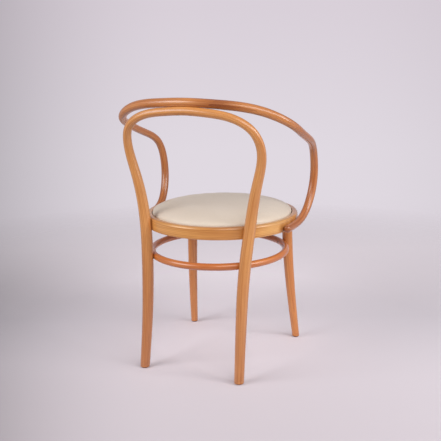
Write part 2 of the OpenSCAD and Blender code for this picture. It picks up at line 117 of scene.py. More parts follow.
def outward(angle):  # level direction at an angle round the seat, in degrees
    return Vector((math.cos(math.radians(angle)), math.sin(math.radians(angle)), 0))


def bothSides(angle):  # the same direction on the left and on the right of the chair
    return outward(angle), outward(180 - angle)


# node helpers, for materials and for geometry nodes

def feed(tree, node, inputs):  # links a socket, sets a plain value
    for key, value in inputs.items():
        if isinstance(value, bpy.types.NodeSocket):
            tree.links.new(value, node.inputs[key])
        else:
            node.inputs[key].default_value = value


def addNode(tree, kind, inputs=None, **settings):
    node = tree.nodes.new(kind)
    for key, value in settings.items():
        setattr(node, key, value)
    feed(tree, node, inputs or {})
    return node


def output(tree, kind, inputs=None, **settings):  # the first output of a new node
    return addNode(tree, kind, inputs, **settings).outputs[0]


def mixed(tree, factor, a, b, blend="MIX"):
    node = addNode(tree, "ShaderNodeMix", {0: factor, 6: a, 7: b}, data_type="RGBA", blend_type=blend)
    return node.outputs[2]


def ranged(tree, value, low, high, toLow, toHigh):
    node = addNode(tree, "ShaderNodeMapRange", {0: value, 1: low, 2: high, 3: toLow, 4: toHigh})
    return node.outputs[0]


def sums(tree, operation, a, b):
    return output(tree, "ShaderNodeMath", {0: a, 1: b}, operation=operation)


def weighed(tree, *parts):  # the sum of values times their weights
    total = None
    for value, weight in parts:
        part = sums(tree, "MULTIPLY", value, weight)
        total = sums(tree, "ADD", total, part) if total else part
    return total


def measured(tree, operation, *vectors):  # a length, a distance, or how far along a direction
    return addNode(tree, "ShaderNodeVectorMath", dict(enumerate(vectors)), operation=operation).outputs["Value"]


def noise(tree, vector, scale, detail, roughness=0.5):
    inputs = {"Vector": vector, "Scale": scale, "Detail": detail, "Roughness": roughness}
    return addNode(tree, "ShaderNodeTexNoise", inputs)


def mapped(tree, vector, scale, place=(0, 0, 0), turn=(0, 0, 0)):
    inputs = {"Vector": vector, "Scale": scale, "Location": place, "Rotation": turn}
    return output(tree, "ShaderNodeMapping", inputs)


def bumped(tree, height, strength, distance, **under):
    inputs = {"Height": height, "Strength": strength, "Distance": distance, **under}
    return output(tree, "ShaderNodeBump", inputs)


def upPart(tree, vector):
    return addNode(tree, "ShaderNodeSeparateXYZ", {0: vector}).outputs[2]


def newMaterial(name):
    material = bpy.data.materials.new(name)
    material.use_nodes = True
    tree = material.node_tree
    tree.nodes.clear()
    shader = addNode(tree, "ShaderNodeBsdfPrincipled")
    addNode(tree, "ShaderNodeOutputMaterial", {"Surface": shader.outputs[0]})
    spot = addNode(tree, "ShaderNodeTexCoord").outputs["Object"]
    return material, tree, shader, spot


waveUnit = 0.314  # the scale at which a wave texture has one band in a metre

beechLook = {
    "streakWidth": 1.3 * mm, "streakDraw": 0.02,   # fine streaks, and how much they are drawn out along the rod
    "bandWidth": 7 * mm, "bandDraw": 0.03,         # broad golden and brown bands
    "ringWidth": 4.2 * mm, "ringDraw": 0.03,       # growth rings of the plank the rod was sawn from
    "ringWander": 5.5, "ringTilt": (0.05, 0.02),
    "fleckWidth": 1.5 * mm, "fleckDraw": 0.17,     # short dark flecks
    "cloudScale": 16, "cloudDraw": 0.35,           # warmer clouds
    "streakShare": 0.5, "ringShare": 0.24, "bandShare": 0.7,
    "warmTint": (1.0, 0.86, 0.74), "warmDepth": 0.45,
    "fleckTint": (0.62, 0.5, 0.42), "fleckDepth": 0.42,
    "knotTint": 0.3, "knotCore": 0.45,
    "wearTint": 0.55, "wearDepth": 0.55, "wearScale": 150, "wearHeights": (4 * mm, 30 * mm),
    "patchCore": 0.3,
    "roughness": (0.34, 0.47), "wearRough": 0.8,
    "specular": 0.4, "coat": 1.0, "coatRoughness": 0.26,
    "bumpStrength": 0.35, "bumpHeight": 0.03 * mm,
}


def beech(name, pale, deep, seed, marks=(), shade=None, stainsAndPaintedLight=()):
    look = beechLook
    material, tree, shader, spot = newMaterial(name)
    grain = addNode(tree, "ShaderNodeAttribute", attribute_name="grain").outputs["Vector"]
    place = (seed * 0.37, seed * 0.21, seed * 0.11)

    def drawn(kind, turn=(0, 0, 0)):  # the grain's coordinates, shortened along the rod
        return mapped(tree, grain, (1, 1, look[kind + "Draw"]), place, turn)

    def within(x, y, z, radius, core, depth):  # how far inside a ball given in mm
        away = measured(tree, "DISTANCE", spot, (x * mm, y * mm, z * mm))
        return ranged(tree, away, radius * mm * core, radius * mm, depth, 0)

    streaks = noise(tree, drawn("streak"), 1 / look["streakWidth"], 4, 0.6).outputs[0]
    rings = addNode(tree, "ShaderNodeTexWave", {
        "Vector": drawn("ring", (*look["ringTilt"], seed * 0.9)), "Scale": waveUnit / look["ringWidth"],
        "Distortion": look["ringWander"], "Detail": 2, "Detail Scale": 0.5, "Detail Roughness": 0.5,
    }, wave_type="BANDS", bands_direction="X", wave_profile="SAW").outputs["Fac"]
    bands = noise(tree, drawn("band"), 1 / look["bandWidth"], 2, 0.55).outputs[0]
    body = weighed(tree, (streaks, look["streakShare"]), (rings, look["ringShare"]), (bands, look["bandShare"]))
    colour = mixed(tree, ranged(tree, body, 0.45, 1.0, 0, 1), deep, pale)

    clouds = noise(tree, drawn("cloud"), look["cloudScale"], 2).outputs[0]
    clouds = ranged(tree, clouds, 0.52, 0.8, 0, look["warmDepth"])
    colour = mixed(tree, clouds, colour, tinted(deep, look["warmTint"]))

    cells = addNode(tree, "ShaderNodeTexVoronoi", {
        "Vector": drawn("fleck"), "Scale": 1 / look["fleckWidth"], "Randomness": 1,
    })
    draw = output(tree, "ShaderNodeSeparateColor", {0: cells.outputs["Color"]})
    flecks = ranged(tree, cells.outputs["Distance"], 0.1, 0.26, 1, 0)
    flecks = sums(tree, "MULTIPLY", flecks, ranged(tree, draw, 0.45, 0.6, 0, 1))  # about half of the cells have one
    fleckShare = sums(tree, "MULTIPLY", flecks, look["fleckDepth"])
    colour = mixed(tree, fleckShare, colour, tinted(deep, look["fleckTint"]))

    for x, y, z, radius, depth in marks:  # small knots
        knot = within(x, y, z, radius, look["knotCore"], depth)
        colour = mixed(tree, knot, colour, tinted(deep, look["knotTint"]))
    high = upPart(tree, spot)
    scuff = noise(tree, spot, look["wearScale"], 5, 0.7).outputs[0]
    worn = sums(tree, "MULTIPLY", ranged(tree, high, *look["wearHeights"], 1, 0),
                ranged(tree, scuff, 0.5, 0.72, 0, look["wearDepth"]))
    colour = mixed(tree, worn, colour, tinted(deep, look["wearTint"]))
    for x, y, z, radius, tint in stainsAndPaintedLight:  # wide soft patches: darker or paler wood, and painted shade and painted highlights
        patch = within(x, y, z, radius, look["patchCore"], 1)
        colour = mixed(tree, patch, colour, tint + (1,), "MULTIPLY")
    if shade:  # redder and darker from the second height to the first: on the rods partly the wood and partly painted shade, on the ring painted shade over its top
        low, top, tint = shade
        colour = mixed(tree, ranged(tree, high, low * mm, top * mm, 1, 0), colour, tint + (1,), "MULTIPLY")

    rough = sums(tree, "ADD", streaks, sums(tree, "MULTIPLY", worn, look["wearRough"]))
    height = sums(tree, "SUBTRACT", streaks, sums(tree, "MULTIPLY", flecks, 0.5))
    feed(tree, shader, {
        "Base Color": colour,
        "Roughness": ranged(tree, rough, 0.3, 0.8, *look["roughness"]),
        "Specular IOR Level": look["specular"], "Coat Weight": look["coat"], "Coat Roughness": look["coatRoughness"],
        "Normal": bumped(tree, height, look["bumpStrength"], look["bumpHeight"]),
    })
    return material


# places in mm: x, y, z and radius, then a tint
railStain = (-80, 188, 743, 74, (0.62, 0.5, 0.42))
armEnds = [(side * 218, 60, 398, 30, (0.82, 0.76, 0.74)) for side in (1, -1)]
# painted shade low on the left rear leg, the side the lamps light less
rearLegPaintedShade = (144, 200, 90, 330, (0.88, 0.82, 0.86))
# the hoop's top a little more golden
hoopTopTint = (0, 214, 722, 160, (0.98, 0.93, 0.84))
# painted shade on the stretcher's front half and near the front left leg, under the seat
bracePaintedShade = [(0, -165, 313, 230, (0.8, 0.7, 0.66)), (165, -75, 313, 110, (0.82, 0.72, 0.7))]
# a darker patch on the ring's back, and a painted highlight that makes its right side paler and bluer
ringTintsAndPaintedLight = [(-86, 185, 404, 110, (0.87, 0.8, 0.76)), (-200, 81, 404, 90, (1.08, 1.2, 1.36))]
for angle, height in ((17, 398), (11, 399), (4, 402)):  # painted shade in the crevices where the arms meet the ring
    for way in bothSides(angle):
        ringTintsAndPaintedLight.append((219 * way.x, 219 * way.y - 8, height, 19, (0.62, 0.5, 0.44)))

# heights in mm and a tint
# partly redder wood and partly painted shade: legs and arms darkened towards the floor, the left rail's arm most
legShade = (120, 400, (0.88, 0.8, 0.78))
paleLegShade = (120, 400, (0.95, 0.9, 0.88))
armShade = (500, 735, (0.9, 0.8, 0.76))
paleArmShade = (500, 735, (0.75, 0.65, 0.6))
# painted shade over the ring's top, which faces the lamps
ringTopPaintedShade = (420, 411, (0.82, 0.8, 0.78))

hoopKnots, railKnots = [(152.5, 200.3, 196, 2.2, 0.85)], [(146, 179.5, 749, 2.6, 0.7)]
hoopBeech = beech("hoopBeech", tone(223, 159, 94), tone(181, 113, 56), 1, hoopKnots, legShade,
                  [rearLegPaintedShade, hoopTopTint])
railBeech = beech("railBeech", tone(215, 145, 80), tone(167, 93, 43), 2, railKnots, paleArmShade,
                  [railStain] + armEnds)
railRedBeech = beech("railRedBeech", tone(207, 137, 76), tone(157, 88, 42), 3, (), armShade,
                     [railStain] + armEnds)
legBeech = beech("legBeech", tone(226, 152, 80), tone(190, 110, 48), 4, (), paleLegShade)
ringBeech = beech("ringBeech", tone(235, 174, 99), tone(184, 115, 52), 5, (), ringTopPaintedShade, ringTintsAndPaintedLight)
braceBeech = beech("braceBeech", tone(215, 131, 63), tone(168, 84, 35), 6, (), None, bracePaintedShade)


leatherLook = {
    "pebble": 0.9 * mm, "pebbleEdge": 0.28, "pebbleHeight": 0.05 * mm, "pebbleStrength": 0.7,
    "wander": 1.2 * mm, "wanderScale": 260,       # how far the pebbles leave an even pattern
    "cloudScale": 9, "mottleScale": 70,
    "creviceTint": 0.86, "creviceDepth": 0.5,
    "undulation": 0.25 * mm, "undulationStrength": 0.5,
    "roughness": (0.42, 0.56), "sheen": 0.08, "sheenRoughness": 0.5,
}


def leather(name, pale, deep):
    look = leatherLook
    material, tree, shader, spot = newMaterial(name)
    wander = noise(tree, spot, look["wanderScale"], 2).outputs["Color"]
    wander = addNode(tree, "ShaderNodeVectorMath", {0: wander, 1: (look["wander"],) * 3}, operation="MULTIPLY")
    bent = output(tree, "ShaderNodeVectorMath", {0: spot, 1: wander.outputs[0]}, operation="ADD")
    cells = addNode(tree, "ShaderNodeTexVoronoi", {"Vector": bent, "Scale": 1 / look["pebble"]},
                    feature="DISTANCE_TO_EDGE").outputs["Distance"]
    pebbles = ranged(tree, cells, 0, look["pebbleEdge"], 0, 1)
    clouds = noise(tree, spot, look["cloudScale"], 3).outputs[0]
    mottle = noise(tree, spot, look["mottleScale"], 4, 0.6).outputs[0]
    body = sums(tree, "ADD", clouds, sums(tree, "MULTIPLY", mottle, 0.5))
    colour = mixed(tree, ranged(tree, body, 0.5, 1.05, 0, 1), deep, pale)
    # painted shade in the crevices between the pebbles
    crevice = ranged(tree, pebbles, 0, 1, look["creviceDepth"], 0)
    fine = bumped(tree, pebbles, look["pebbleStrength"], look["pebbleHeight"])
    feed(tree, shader, {
        "Base Color": mixed(tree, crevice, colour, tinted(deep, look["creviceTint"])),
        "Roughness": ranged(tree, mottle, 0.3, 0.7, *look["roughness"]),
        "Sheen Weight": look["sheen"], "Sheen Roughness": look["sheenRoughness"],
        "Normal": bumped(tree, mottle, look["undulationStrength"], look["undulation"], Normal=fine),
    })
    return material


plyLook = {
    "draw": 0.05, "figureScale": 24, "figureWander": 7, "streakScale": 900, "ply": 3 * mm,
    "pale": tone(214, 184, 142), "deep": tone(176, 140, 98), "edge": tone(136, 98, 62),
    "roughness": (0.62, 0.78), "bumpHeight": 0.1 * mm,
}


def plywood(name):
    look = plyLook
    material, tree, shader, spot = newMaterial(name)
    drawn = mapped(tree, spot, (look["draw"], 1, 1))
    figure = addNode(tree, "ShaderNodeTexWave", {
        "Vector": drawn, "Scale": look["figureScale"], "Distortion": look["figureWander"],
        "Detail": 3, "Detail Scale": 0.35,
    }, bands_direction="Y").outputs["Fac"]
    streaks = noise(tree, drawn, look["streakScale"], 3).outputs[0]
    plies = addNode(tree, "ShaderNodeTexWave", {
        "Vector": spot, "Scale": waveUnit / look["ply"], "Distortion": 0.4,
    }, bands_direction="Z").outputs["Fac"]
    colour = mixed(tree, weighed(tree, (figure, 0.4), (streaks, 0.6)), look["deep"], look["pale"])
    side = upPart(tree, addNode(tree, "ShaderNodeNewGeometry").outputs["True Normal"])
    edge = ranged(tree, sums(tree, "ABSOLUTE", side, 0), 0.3, 0.7, 0.6, 0)
    feed(tree, shader, {
        "Base Color": mixed(tree, sums(tree, "MULTIPLY", edge, plies), colour, look["edge"]),
        "Roughness": ranged(tree, streaks, 0.3, 0.7, *look["roughness"]),
        "Normal": bumped(tree, streaks, 0.5, look["bumpHeight"]),
    })
    return material


def speckledFinish(name, pale, deep, metallic, roughness, size, bumpHeight):
    material, tree, shader, spot = newMaterial(name)
    patches = noise(tree, spot, 1 / size, 5, 0.65).outputs[0]
    feed(tree, shader, {
        "Base Color": mixed(tree, ranged(tree, patches, 0.3, 0.7, 0, 1), deep, pale),
        "Roughness": ranged(tree, patches, 0.3, 0.7, *roughness),
        "Metallic": metallic,
        "Normal": bumped(tree, patches, 0.5, bumpHeight),
    })
    return material


creamLeather = leather("creamLeather", tone(224, 211, 197), tone(215, 200, 184))
boardPly = plywood("boardPly")
zincSteel = speckledFinish("zincSteel", tone(196, 198, 200), tone(150, 150, 146), 0.9, (0.3, 0.46),
                           1.2 * mm, 0.03 * mm)
glideNylon = speckledFinish("glideNylon", tone(72, 58, 48), tone(50, 40, 34), 0.0, (0.45, 0.6), 2.5 * mm, 0.04 * mm)
print("materials made")


# geometry nodes: one tree sweeps every bent rod, one sets every row of fasteners

def newTree(name, inputs):
    tree = bpy.data.node_groups.new(name, "GeometryNodeTree")
    tree.interface.new_socket("Geometry", in_out="INPUT", socket_type="NodeSocketGeometry")
    for label, kind in inputs:
        tree.interface.new_socket(label, in_out="INPUT", socket_type="NodeSocket" + kind)
    tree.interface.new_socket("Geometry", in_out="OUTPUT", socket_type="NodeSocketGeometry")
    return tree, tree.nodes.new("NodeGroupInput").outputs, tree.nodes.new("NodeGroupOutput").inputs


def closeTree(tree, geometry, material, result):
    real = addNode(tree, "GeometryNodeRealizeInstances", {"Geometry": geometry})
    finish = addNode(tree, "GeometryNodeSetMaterial", {"Geometry": real.outputs[0], "Material": material})
    tree.links.new(finish.outputs[0], result[0])
    return tree


def useTree(obj, tree, values):
    modifier = obj.modifiers.new(tree.name, "NODES")
    modifier.node_group = tree
    for item in tree.interface.items_tree:
        if item.in_out == "INPUT" and item.name in values:
            modifier[item.identifier] = values[item.name]


def makeRodTree():  # sweeps a curve with radii, and stores where each point was in the straight rod
    tree, given, result = newTree("bentRod", [("Sides", "Int"), ("Material", "Material")])
    circle = addNode(tree, "GeometryNodeCurvePrimitiveCircle", {"Resolution": given["Sides"], "Radius": 1.0})
    keepSection = addNode(tree, "GeometryNodeCaptureAttribute", {"Geometry": circle.outputs[0]})
    keepSection.capture_items.new("VECTOR", "Section")
    keepPath = addNode(tree, "GeometryNodeCaptureAttribute", {"Geometry": given["Geometry"]})
    keepPath.capture_items.new("FLOAT", "Along")
    keepPath.capture_items.new("FLOAT", "Thickness")
    feed(tree, keepSection, {"Section": output(tree, "GeometryNodeInputPosition")})
    feed(tree, keepPath, {
        "Along": addNode(tree, "GeometryNodeSplineParameter").outputs["Length"],
        "Thickness": output(tree, "GeometryNodeInputRadius"),
    })
    sweep = addNode(tree, "GeometryNodeCurveToMesh", {
        "Curve": keepPath.outputs[0], "Profile Curve": keepSection.outputs[0],
        "Scale": keepPath.outputs["Thickness"], "Fill Caps": True,
    })
    across = output(tree, "ShaderNodeVectorMath", {
        0: keepSection.outputs["Section"], 3: keepPath.outputs["Thickness"],
    }, operation="SCALE")
    lengthwise = output(tree, "ShaderNodeCombineXYZ", {2: keepPath.outputs["Along"]})
    grain = output(tree, "ShaderNodeVectorMath", {0: across, 1: lengthwise}, operation="ADD")
    store = addNode(tree, "GeometryNodeStoreNamedAttribute", {
        "Geometry": sweep.outputs[0], "Name": "grain", "Value": grain,
    }, data_type="FLOAT_VECTOR", domain="POINT")
    return closeTree(tree, store.outputs[0], given["Material"], result)


def makeFastenerTree():  # a fastener on each point, along the point's aim, at a random turn
    tree, given, result = newTree("fastenerSet", [("Fastener", "Object"), ("Material", "Material")])
    shape = addNode(tree, "GeometryNodeObjectInfo", {"Object": given["Fastener"]}).outputs["Geometry"]
    aim = output(tree, "GeometryNodeInputNamedAttribute", {"Name": "aim"}, data_type="FLOAT_VECTOR")
    turn = output(tree, "FunctionNodeAlignRotationToVector", {"Vector": aim}, axis="Z")
    index = output(tree, "GeometryNodeInputIndex")
    spin = addNode(tree, "FunctionNodeRandomValue", {2: 0.0, 3: math.tau, "ID": index, "Seed": 7},
                   data_type="FLOAT").outputs[1]
    twist = output(tree, "FunctionNodeAxisAngleToRotation", {"Axis": (0, 0, 1), "Angle": spin})
    turned = output(tree, "FunctionNodeRotateRotation", {"Rotation": turn, "Rotate By": twist},
                    rotation_space="LOCAL")
    place = addNode(tree, "GeometryNodeInstanceOnPoints", {
        "Points": given["Geometry"], "Instance": shape, "Rotation": turned,
    })
    return closeTree(tree, place.outputs[0], given["Material"], result)


rodTree = makeRodTree()
fastenerTree = makeFastenerTree()
rodLook = {"sides": 44, "spacing": 3 * mm, "noseSteps": 9, "noseEnd": 86}


def smoothPath(stations, spacing):  # natural spline through rows of x, y, z, radius in mm
    rows = np.array(stations, float) * mm
    count = len(rows)
    gaps = np.linalg.norm(np.diff(rows[:, :3], axis=0), axis=1)
    left, right = np.zeros((count, count)), np.zeros_like(rows)
    left[0, :2] = 2, 1
    right[0] = 3 * (rows[1] - rows[0]) / gaps[0]
    left[-1, -2:] = 1, 2
    right[-1] = 3 * (rows[-1] - rows[-2]) / gaps[-1]
    for i in range(1, count - 1):
        before, after = gaps[i - 1], gaps[i]
        left[i, i - 1:i + 2] = after, 2 * (before + after), before
        right[i] = 3 * (after * (rows[i] - rows[i - 1]) / before + before * (rows[i + 1] - rows[i]) / after)
    slopes = np.linalg.solve(left, right)
    path = []
    for i in range(count - 1):
        steps = max(2, round(gaps[i] / spacing))
        for k in range(steps + (i == count - 2)):
            t = k / steps
            path.append(
                rows[i] * (2 * t**3 - 3 * t**2 + 1) + slopes[i] * gaps[i] * (t**3 - 2 * t**2 + t)
                + rows[i + 1] * (3 * t**2 - 2 * t**3) + slopes[i + 1] * gaps[i] * (t**3 - t**2)
            )
    return np.array(path)


def mirrored(rows):
    return [(-x, y, z, r) for x, y, z, r in rows]


def endAim(path):
    ahead = path[-1, :3] - path[-2, :3]
    return ahead / np.linalg.norm(ahead)


def longer(path, length):  # the path run on straight past its last row
    return np.vstack([path, np.append(path[-1, :3] + endAim(path) * length, path[-1, 3])])


def rounded(path, tip):  # a straight end with a round nose
    ahead, end, radius = endAim(path), path[-1, :3], path[-1, 3]
    rows = []
    for s in np.arange(1, math.floor((tip - radius) / (2 * mm))) * 2 * mm:
        rows.append(np.append(end + ahead * s, radius))
    for k in range(rodLook["noseSteps"] + 1):
        w = math.radians(rodLook["noseEnd"] * k / rodLook["noseSteps"])
        rows.append(np.append(end + ahead * (tip - radius + radius * math.sin(w)), radius * math.cos(w)))
    return np.vstack([path, rows])


def outwardFaces(bm):
    bmesh.ops.recalc_face_normals(bm, faces=bm.faces)


def bentRod(name, path, material):
    curve = bpy.data.curves.new(name + "Path", "CURVE")
    curve.dimensions = "3D"
    spline = curve.splines.new("POLY")
    spline.points.add(len(path) - 1)
    spline.points.foreach_set("co", np.hstack([path[:, :3], np.ones((len(path), 1))]).ravel())
    spline.points.foreach_set("radius", path[:, 3])
    host = linkNew(name + "Path", curve)
    useTree(host, rodTree, {"Sides": rodLook["sides"], "Material": material})
    piece = baked(host, name)
    withBmesh(piece, outwardFaces)
    giveMaterial(piece, material)
    return piece


def cutLevel(piece, point, normal, chamfer=0.0, over=-1.0):  # saws off what lies past a plane, and eases the edge
    def work(bm):
        reached = [v for v in bm.verts if v.co.z > over]
        reached += [g for kind in (bm.edges, bm.faces) for g in kind if all(v.co.z > over for v in g.verts)]
        cut = bmesh.ops.bisect_plane(bm, geom=reached, dist=1e-7, plane_co=point, plane_no=normal, clear_outer=True)
        rim = [e for e in cut["geom_cut"] if isinstance(e, bmesh.types.BMEdge)]
        bmesh.ops.edgeloop_fill(bm, edges=rim)
        if chamfer:
            bmesh.ops.bevel(bm, geom=rim, offset=chamfer, segments=3, profile=0.6, affect="EDGES", clamp_overlap=True)
        outwardFaces(bm)
    withBmesh(piece, work)


def pressed(piece, inZone, depth, direction):  # planes a flat: points short of it move out to it
    co = points(piece)
    missing = depth(co)
    moved = inZone(co) & (missing > 0)
    co[moved] += missing[moved, None] * (direction(co[moved]) if callable(direction) else np.array(direction))
    movePoints(piece, co)


def flatAt(piece, angle, centreY, centreZ, reach, halfHeight, halfWidth, sign=1):
    aim = np.array(outward(angle))
    centre = np.array((0, centreY, centreZ))
    side = np.array((-aim[1], aim[0], 0))
    nearSide = reach - 30 * mm

    def zone(co):
        from0 = co - centre
        level = np.abs(from0[:, 2]) <= halfHeight
        return level & (np.abs(from0 @ side) <= halfWidth) & (from0 @ aim > nearSide)
    pressed(piece, zone, lambda co: sign * (reach - (co - centre) @ aim), sign * aim)


def addCylinder(bm, radius, length, sides, place):
    return bmesh.ops.create_cone(bm, cap_ends=True, segments=sides, radius1=radius, radius2=radius, depth=length,
                                 matrix=place)["verts"]


def bores(name, holes, sides=28):  # one cutter made of round holes: start, direction, radius, length
    bm = bmesh.new()
    for start, aim, radius, length in holes:
        aim = Vector(aim).normalized()
        turn = Vector((0, 0, 1)).rotation_difference(aim).to_matrix().to_4x4()
        place = Matrix.Translation(Vector(start) + aim * length / 2) @ turn
        addCylinder(bm, radius, length, sides, place)
    return fromBmesh(bm, name)


def carved(piece, cutter):
    name = piece.name
    modifier = piece.modifiers.new("holes", "BOOLEAN")
    modifier.object, modifier.solver, modifier.use_self = cutter, "EXACT", True
    piece = baked(piece, name)
    piece.name = name
    bpy.data.objects.remove(cutter)
    return piece


wood = {"headRadius": 4.15 * mm, "headDepth": 2.4 * mm}  # the bores that take a wood screw's head

hoop = {
    "side": [  # foot to shoulder to top, x, y, z and radius in mm
        (145, 213.88, 3, 13.25), (143, 192.88, 150, 15.15), (147.5, 174.42, 313, 16.2), (156, 164.07, 404, 15.75),
        (179.7, 164.07, 539.6, 13.63), (195.5, 177.07, 630, 12.01), (178.9, 195.07, 679.2, 11.16),
        (129, 207.57, 711, 11.16), (58.65, 213.07, 723.1, 11.37),
    ],
    "top": (0, 214.07, 726.47, 11.5),
    "spare": 8 * mm,  # cut off again at the foot
    "glide": 3 * mm,
    "footChamfer": 1.5 * mm,
    "seatFlat": (47.825, 217.8 * mm, 404 * mm, 17 * mm),
    "braceFlat": (47.068, 201.55 * mm, 313 * mm, 6.83 * mm),
    "flatHalfWidth": 40 * mm,
    "boreStart": 25 * mm,  # how far under the hoop the screws' bores start
}
topMiddle = Vector((0, 214.07, 726.47)) * mm
topAim = Vector((0, -math.sin(math.radians(18)), math.cos(math.radians(18))))  # from the hoop's top into the rail
topFlat = 10.3 * mm
topScrews = (-18.4 * mm, 18.4 * mm)
topLow, topHalf = 680 * mm, 97 * mm  # where hoop and rail may lie on each other
brace = {
    "centre": 15.875 * mm, "height": 313 * mm, "radius": 193 * mm, "rod": 9.75 * mm,
    "flat": 201.55 * mm, "rear": 47.068, "front": -42.41, "screwStart": 184.45 * mm,
    "legFlatHalf": 6.83 * mm, "flatHalves": (12 * mm, 20 * mm), "boreStart": 165 * mm,
    "segments": 300, "seam": -60,
}


def atTop(co):
    return (np.abs(co[:, 0]) < topHalf) & (co[:, 2] > topLow)


def makeHoop():
    path = smoothPath(hoop["side"] + [hoop["top"]] + mirrored(hoop["side"])[::-1], rodLook["spacing"])
    path = longer(longer(path, hoop["spare"])[::-1], hoop["spare"])
    piece = bentRod("backHoop", path, hoopBeech)
    cutLevel(piece, (0, 0, hoop["glide"]), (0, 0, -1), hoop["footChamfer"])
    flats = ((hoop["seatFlat"], seatY), (hoop["braceFlat"], brace["centre"]))
    for mirror in (False, True):
        for (angle, reach, height, half), middleY in flats:
            flatAt(piece, 180 - angle if mirror else angle, middleY, height, reach, half, hoop["flatHalfWidth"])
    aim = np.array(topAim)
    pressed(piece, atTop, lambda co: (co - np.array(topMiddle)) @ aim - topFlat, -aim)
    # the bores drop the grain, so each point takes it back from the nearest old one
    tree = KDTree(len(piece.data.vertices))
    for i, v in enumerate(piece.data.vertices):
        tree.insert(v.co, i)
    tree.balance()
    values = np.zeros(len(piece.data.vertices) * 3, np.float32)
    piece.data.attributes["grain"].data.foreach_get("vector", values)
    values = values.reshape(-1, 3)
    deep = hoop["boreStart"]
    holes = [(topMiddle + Vector((x, 0, 0)) - topAim * (topFlat + deep), topAim, wood["headRadius"],
              deep + wood["headDepth"]) for x in topScrews]
    piece = carved(piece, bores("hoopBores", holes))
    spread = np.array([values[tree.find(v.co)[1]] for v in piece.data.vertices], np.float32)
    store = piece.data.attributes.get("grain") or piece.data.attributes.new("grain", "FLOAT_VECTOR", "POINT")
    store.data.foreach_set("vector", spread.ravel())
    return dressed(piece, hoopBeech)


rail = {
    "side": [  # from near the middle of the back forward, down the arm and back along the seat ring
        (72.8, 197.7, 744.35, 12.65), (198.9, 154.44, 723.28, 12.15), (252.2, 106.38, 689.88, 11.05),
        (260, 42.29, 660.1, 10.75), (258.18, -25, 635.41, 10.75), (249.08, -85.89, 602, 10.75),
        (244.4, -113.13, 534.89, 11.13), (239.72, -105.78, 474.89, 11.5), (232.18, -67.45, 419.98, 11.05),
        (223.56, 39.39, 398.63, 10.75),
    ],
    "back": (0, 207.32, 747.25, 12.75),
    "tip": 22 * mm,
    "ringRadius": 219 * mm,
    "ringReach": 440 * mm,  # under this height the arms are planed to the ring
    "scarf": ((-55, 0, 734.5), (-87, 0, 760)),  # the glued joint, low edge and high edge, in mm
    "jointEase": 0.2 * mm,
    "otherArm": 130 * mm,
}


def makeRail():
    path = smoothPath(mirrored(rail["side"])[::-1] + [rail["back"]] + rail["side"], rodLook["spacing"])
    path = rounded(rounded(path, rail["tip"])[::-1], rail["tip"])
    whole = bentRod("railWhole", path, railBeech)
    aim = np.array(topAim)
    pressed(whole, atTop, lambda co: topFlat - (co - np.array(topMiddle)) @ aim, aim)
    centre = np.array((0, seatY, 0))

    def fromRing(co):
        return rail["ringRadius"] - np.hypot(co[:, 0], co[:, 1] - seatY)

    def outwards(co):
        level = (co - centre) * np.array((1, 1, 0))
        return level / np.linalg.norm(level, axis=1)[:, None]
    pressed(whole, lambda co: co[:, 2] < rail["ringReach"], fromRing, outwards)
    low, high = (Vector(p) * mm for p in rail["scarf"])
    run = high - low
    normal = Vector((run.z, 0, -run.x)).normalized()  # points to the left half
    halves = []
    for name, material, sign in (("railLeft", railBeech, -1), ("railRight", railRedBeech, 1)):
        piece = linkNew(name, whole.data.copy())
        # lower down the cut's plane would meet the arms too
        cutLevel(piece, low, normal * sign, rail["jointEase"], over=topLow)

        def dropArm(bm):  # the cut leaves the other half's arm loose
            spare = [v for v in bm.verts if v.co.x * sign > rail["otherArm"]]
            bmesh.ops.delete(bm, geom=spare, context="VERTS")
        withBmesh(piece, dropArm)
        halves.append(dressed(piece, material))
    bpy.data.objects.remove(whole)
    return halves


frontLeg = {
    "side": [
        (176, -163.13, 3, 10.75), (163.25, -134.77, 214.2, 14.07), (159, -129.37, 313, 15), (157, -128.77, 387, 15),
    ],
    "spareTop": 3 * mm,
    "footChamfer": 1.5 * mm,
    "top": 387 * mm,
    "tenonRadius": 10 * mm,
    "tenonLength": 17 * mm,
    "tenonGrain": 0.38,  # the grain's length at the tenon, from the foot
}


def makeFrontLeg(name, side):
    look = frontLeg
    rows = look["side"] if side > 0 else mirrored(look["side"])
    path = longer(smoothPath(rows, rodLook["spacing"])[::-1], hoop["spare"])
    path = longer(path[::-1], look["spareTop"])
    piece = bentRod(name, path, legBeech)
    cutLevel(piece, (0, 0, hoop["glide"]), (0, 0, -1), look["footChamfer"])
    cutLevel(piece, (0, 0, look["top"]), (0, 0, 1))
    angle = brace["front"] if side > 0 else 180 - brace["front"]
    flatAt(piece, angle, brace["centre"], brace["height"], brace["flat"], brace["legFlatHalf"], hoop["flatHalfWidth"])
    x, y = rows[-1][0] * mm, rows[-1][1] * mm

    def tenon(bm):
        place = Matrix.Translation((x, y, look["top"] + look["tenonLength"] / 2))
        added = addCylinder(bm, look["tenonRadius"], look["tenonLength"], 40, place)
        layer = bm.verts.layers.float_vector["grain"]
        for v in added:
            v[layer] = (v.co.x - x, v.co.y - y, look["tenonGrain"] + v.co.z)
    withBmesh(piece, tenon)
    return dressed(piece, legBeech)


backHoop = makeHoop()
railLeft, railRight = makeRail()
legLeft = makeFrontLeg("frontLegLeft", 1)
legRight = makeFrontLeg("frontLegRight", -1)
print("bent rods swept")


def arc(cx, cz, radius, start, end, steps):
    angles = [math.radians(start + (end - start) * k / steps) for k in range(steps + 1)]
    return [(cx + radius * math.cos(w), cz + radius * math.sin(w)) for w in angles]


def spun(bm, r, z, centre, i, sides):  # a new point at a radius and height, the i-th of those round the middle
    w = math.tau * i / sides
    return bm.verts.new((centre[0] + r * math.cos(w), centre[1] + r * math.sin(w), centre[2] + z))


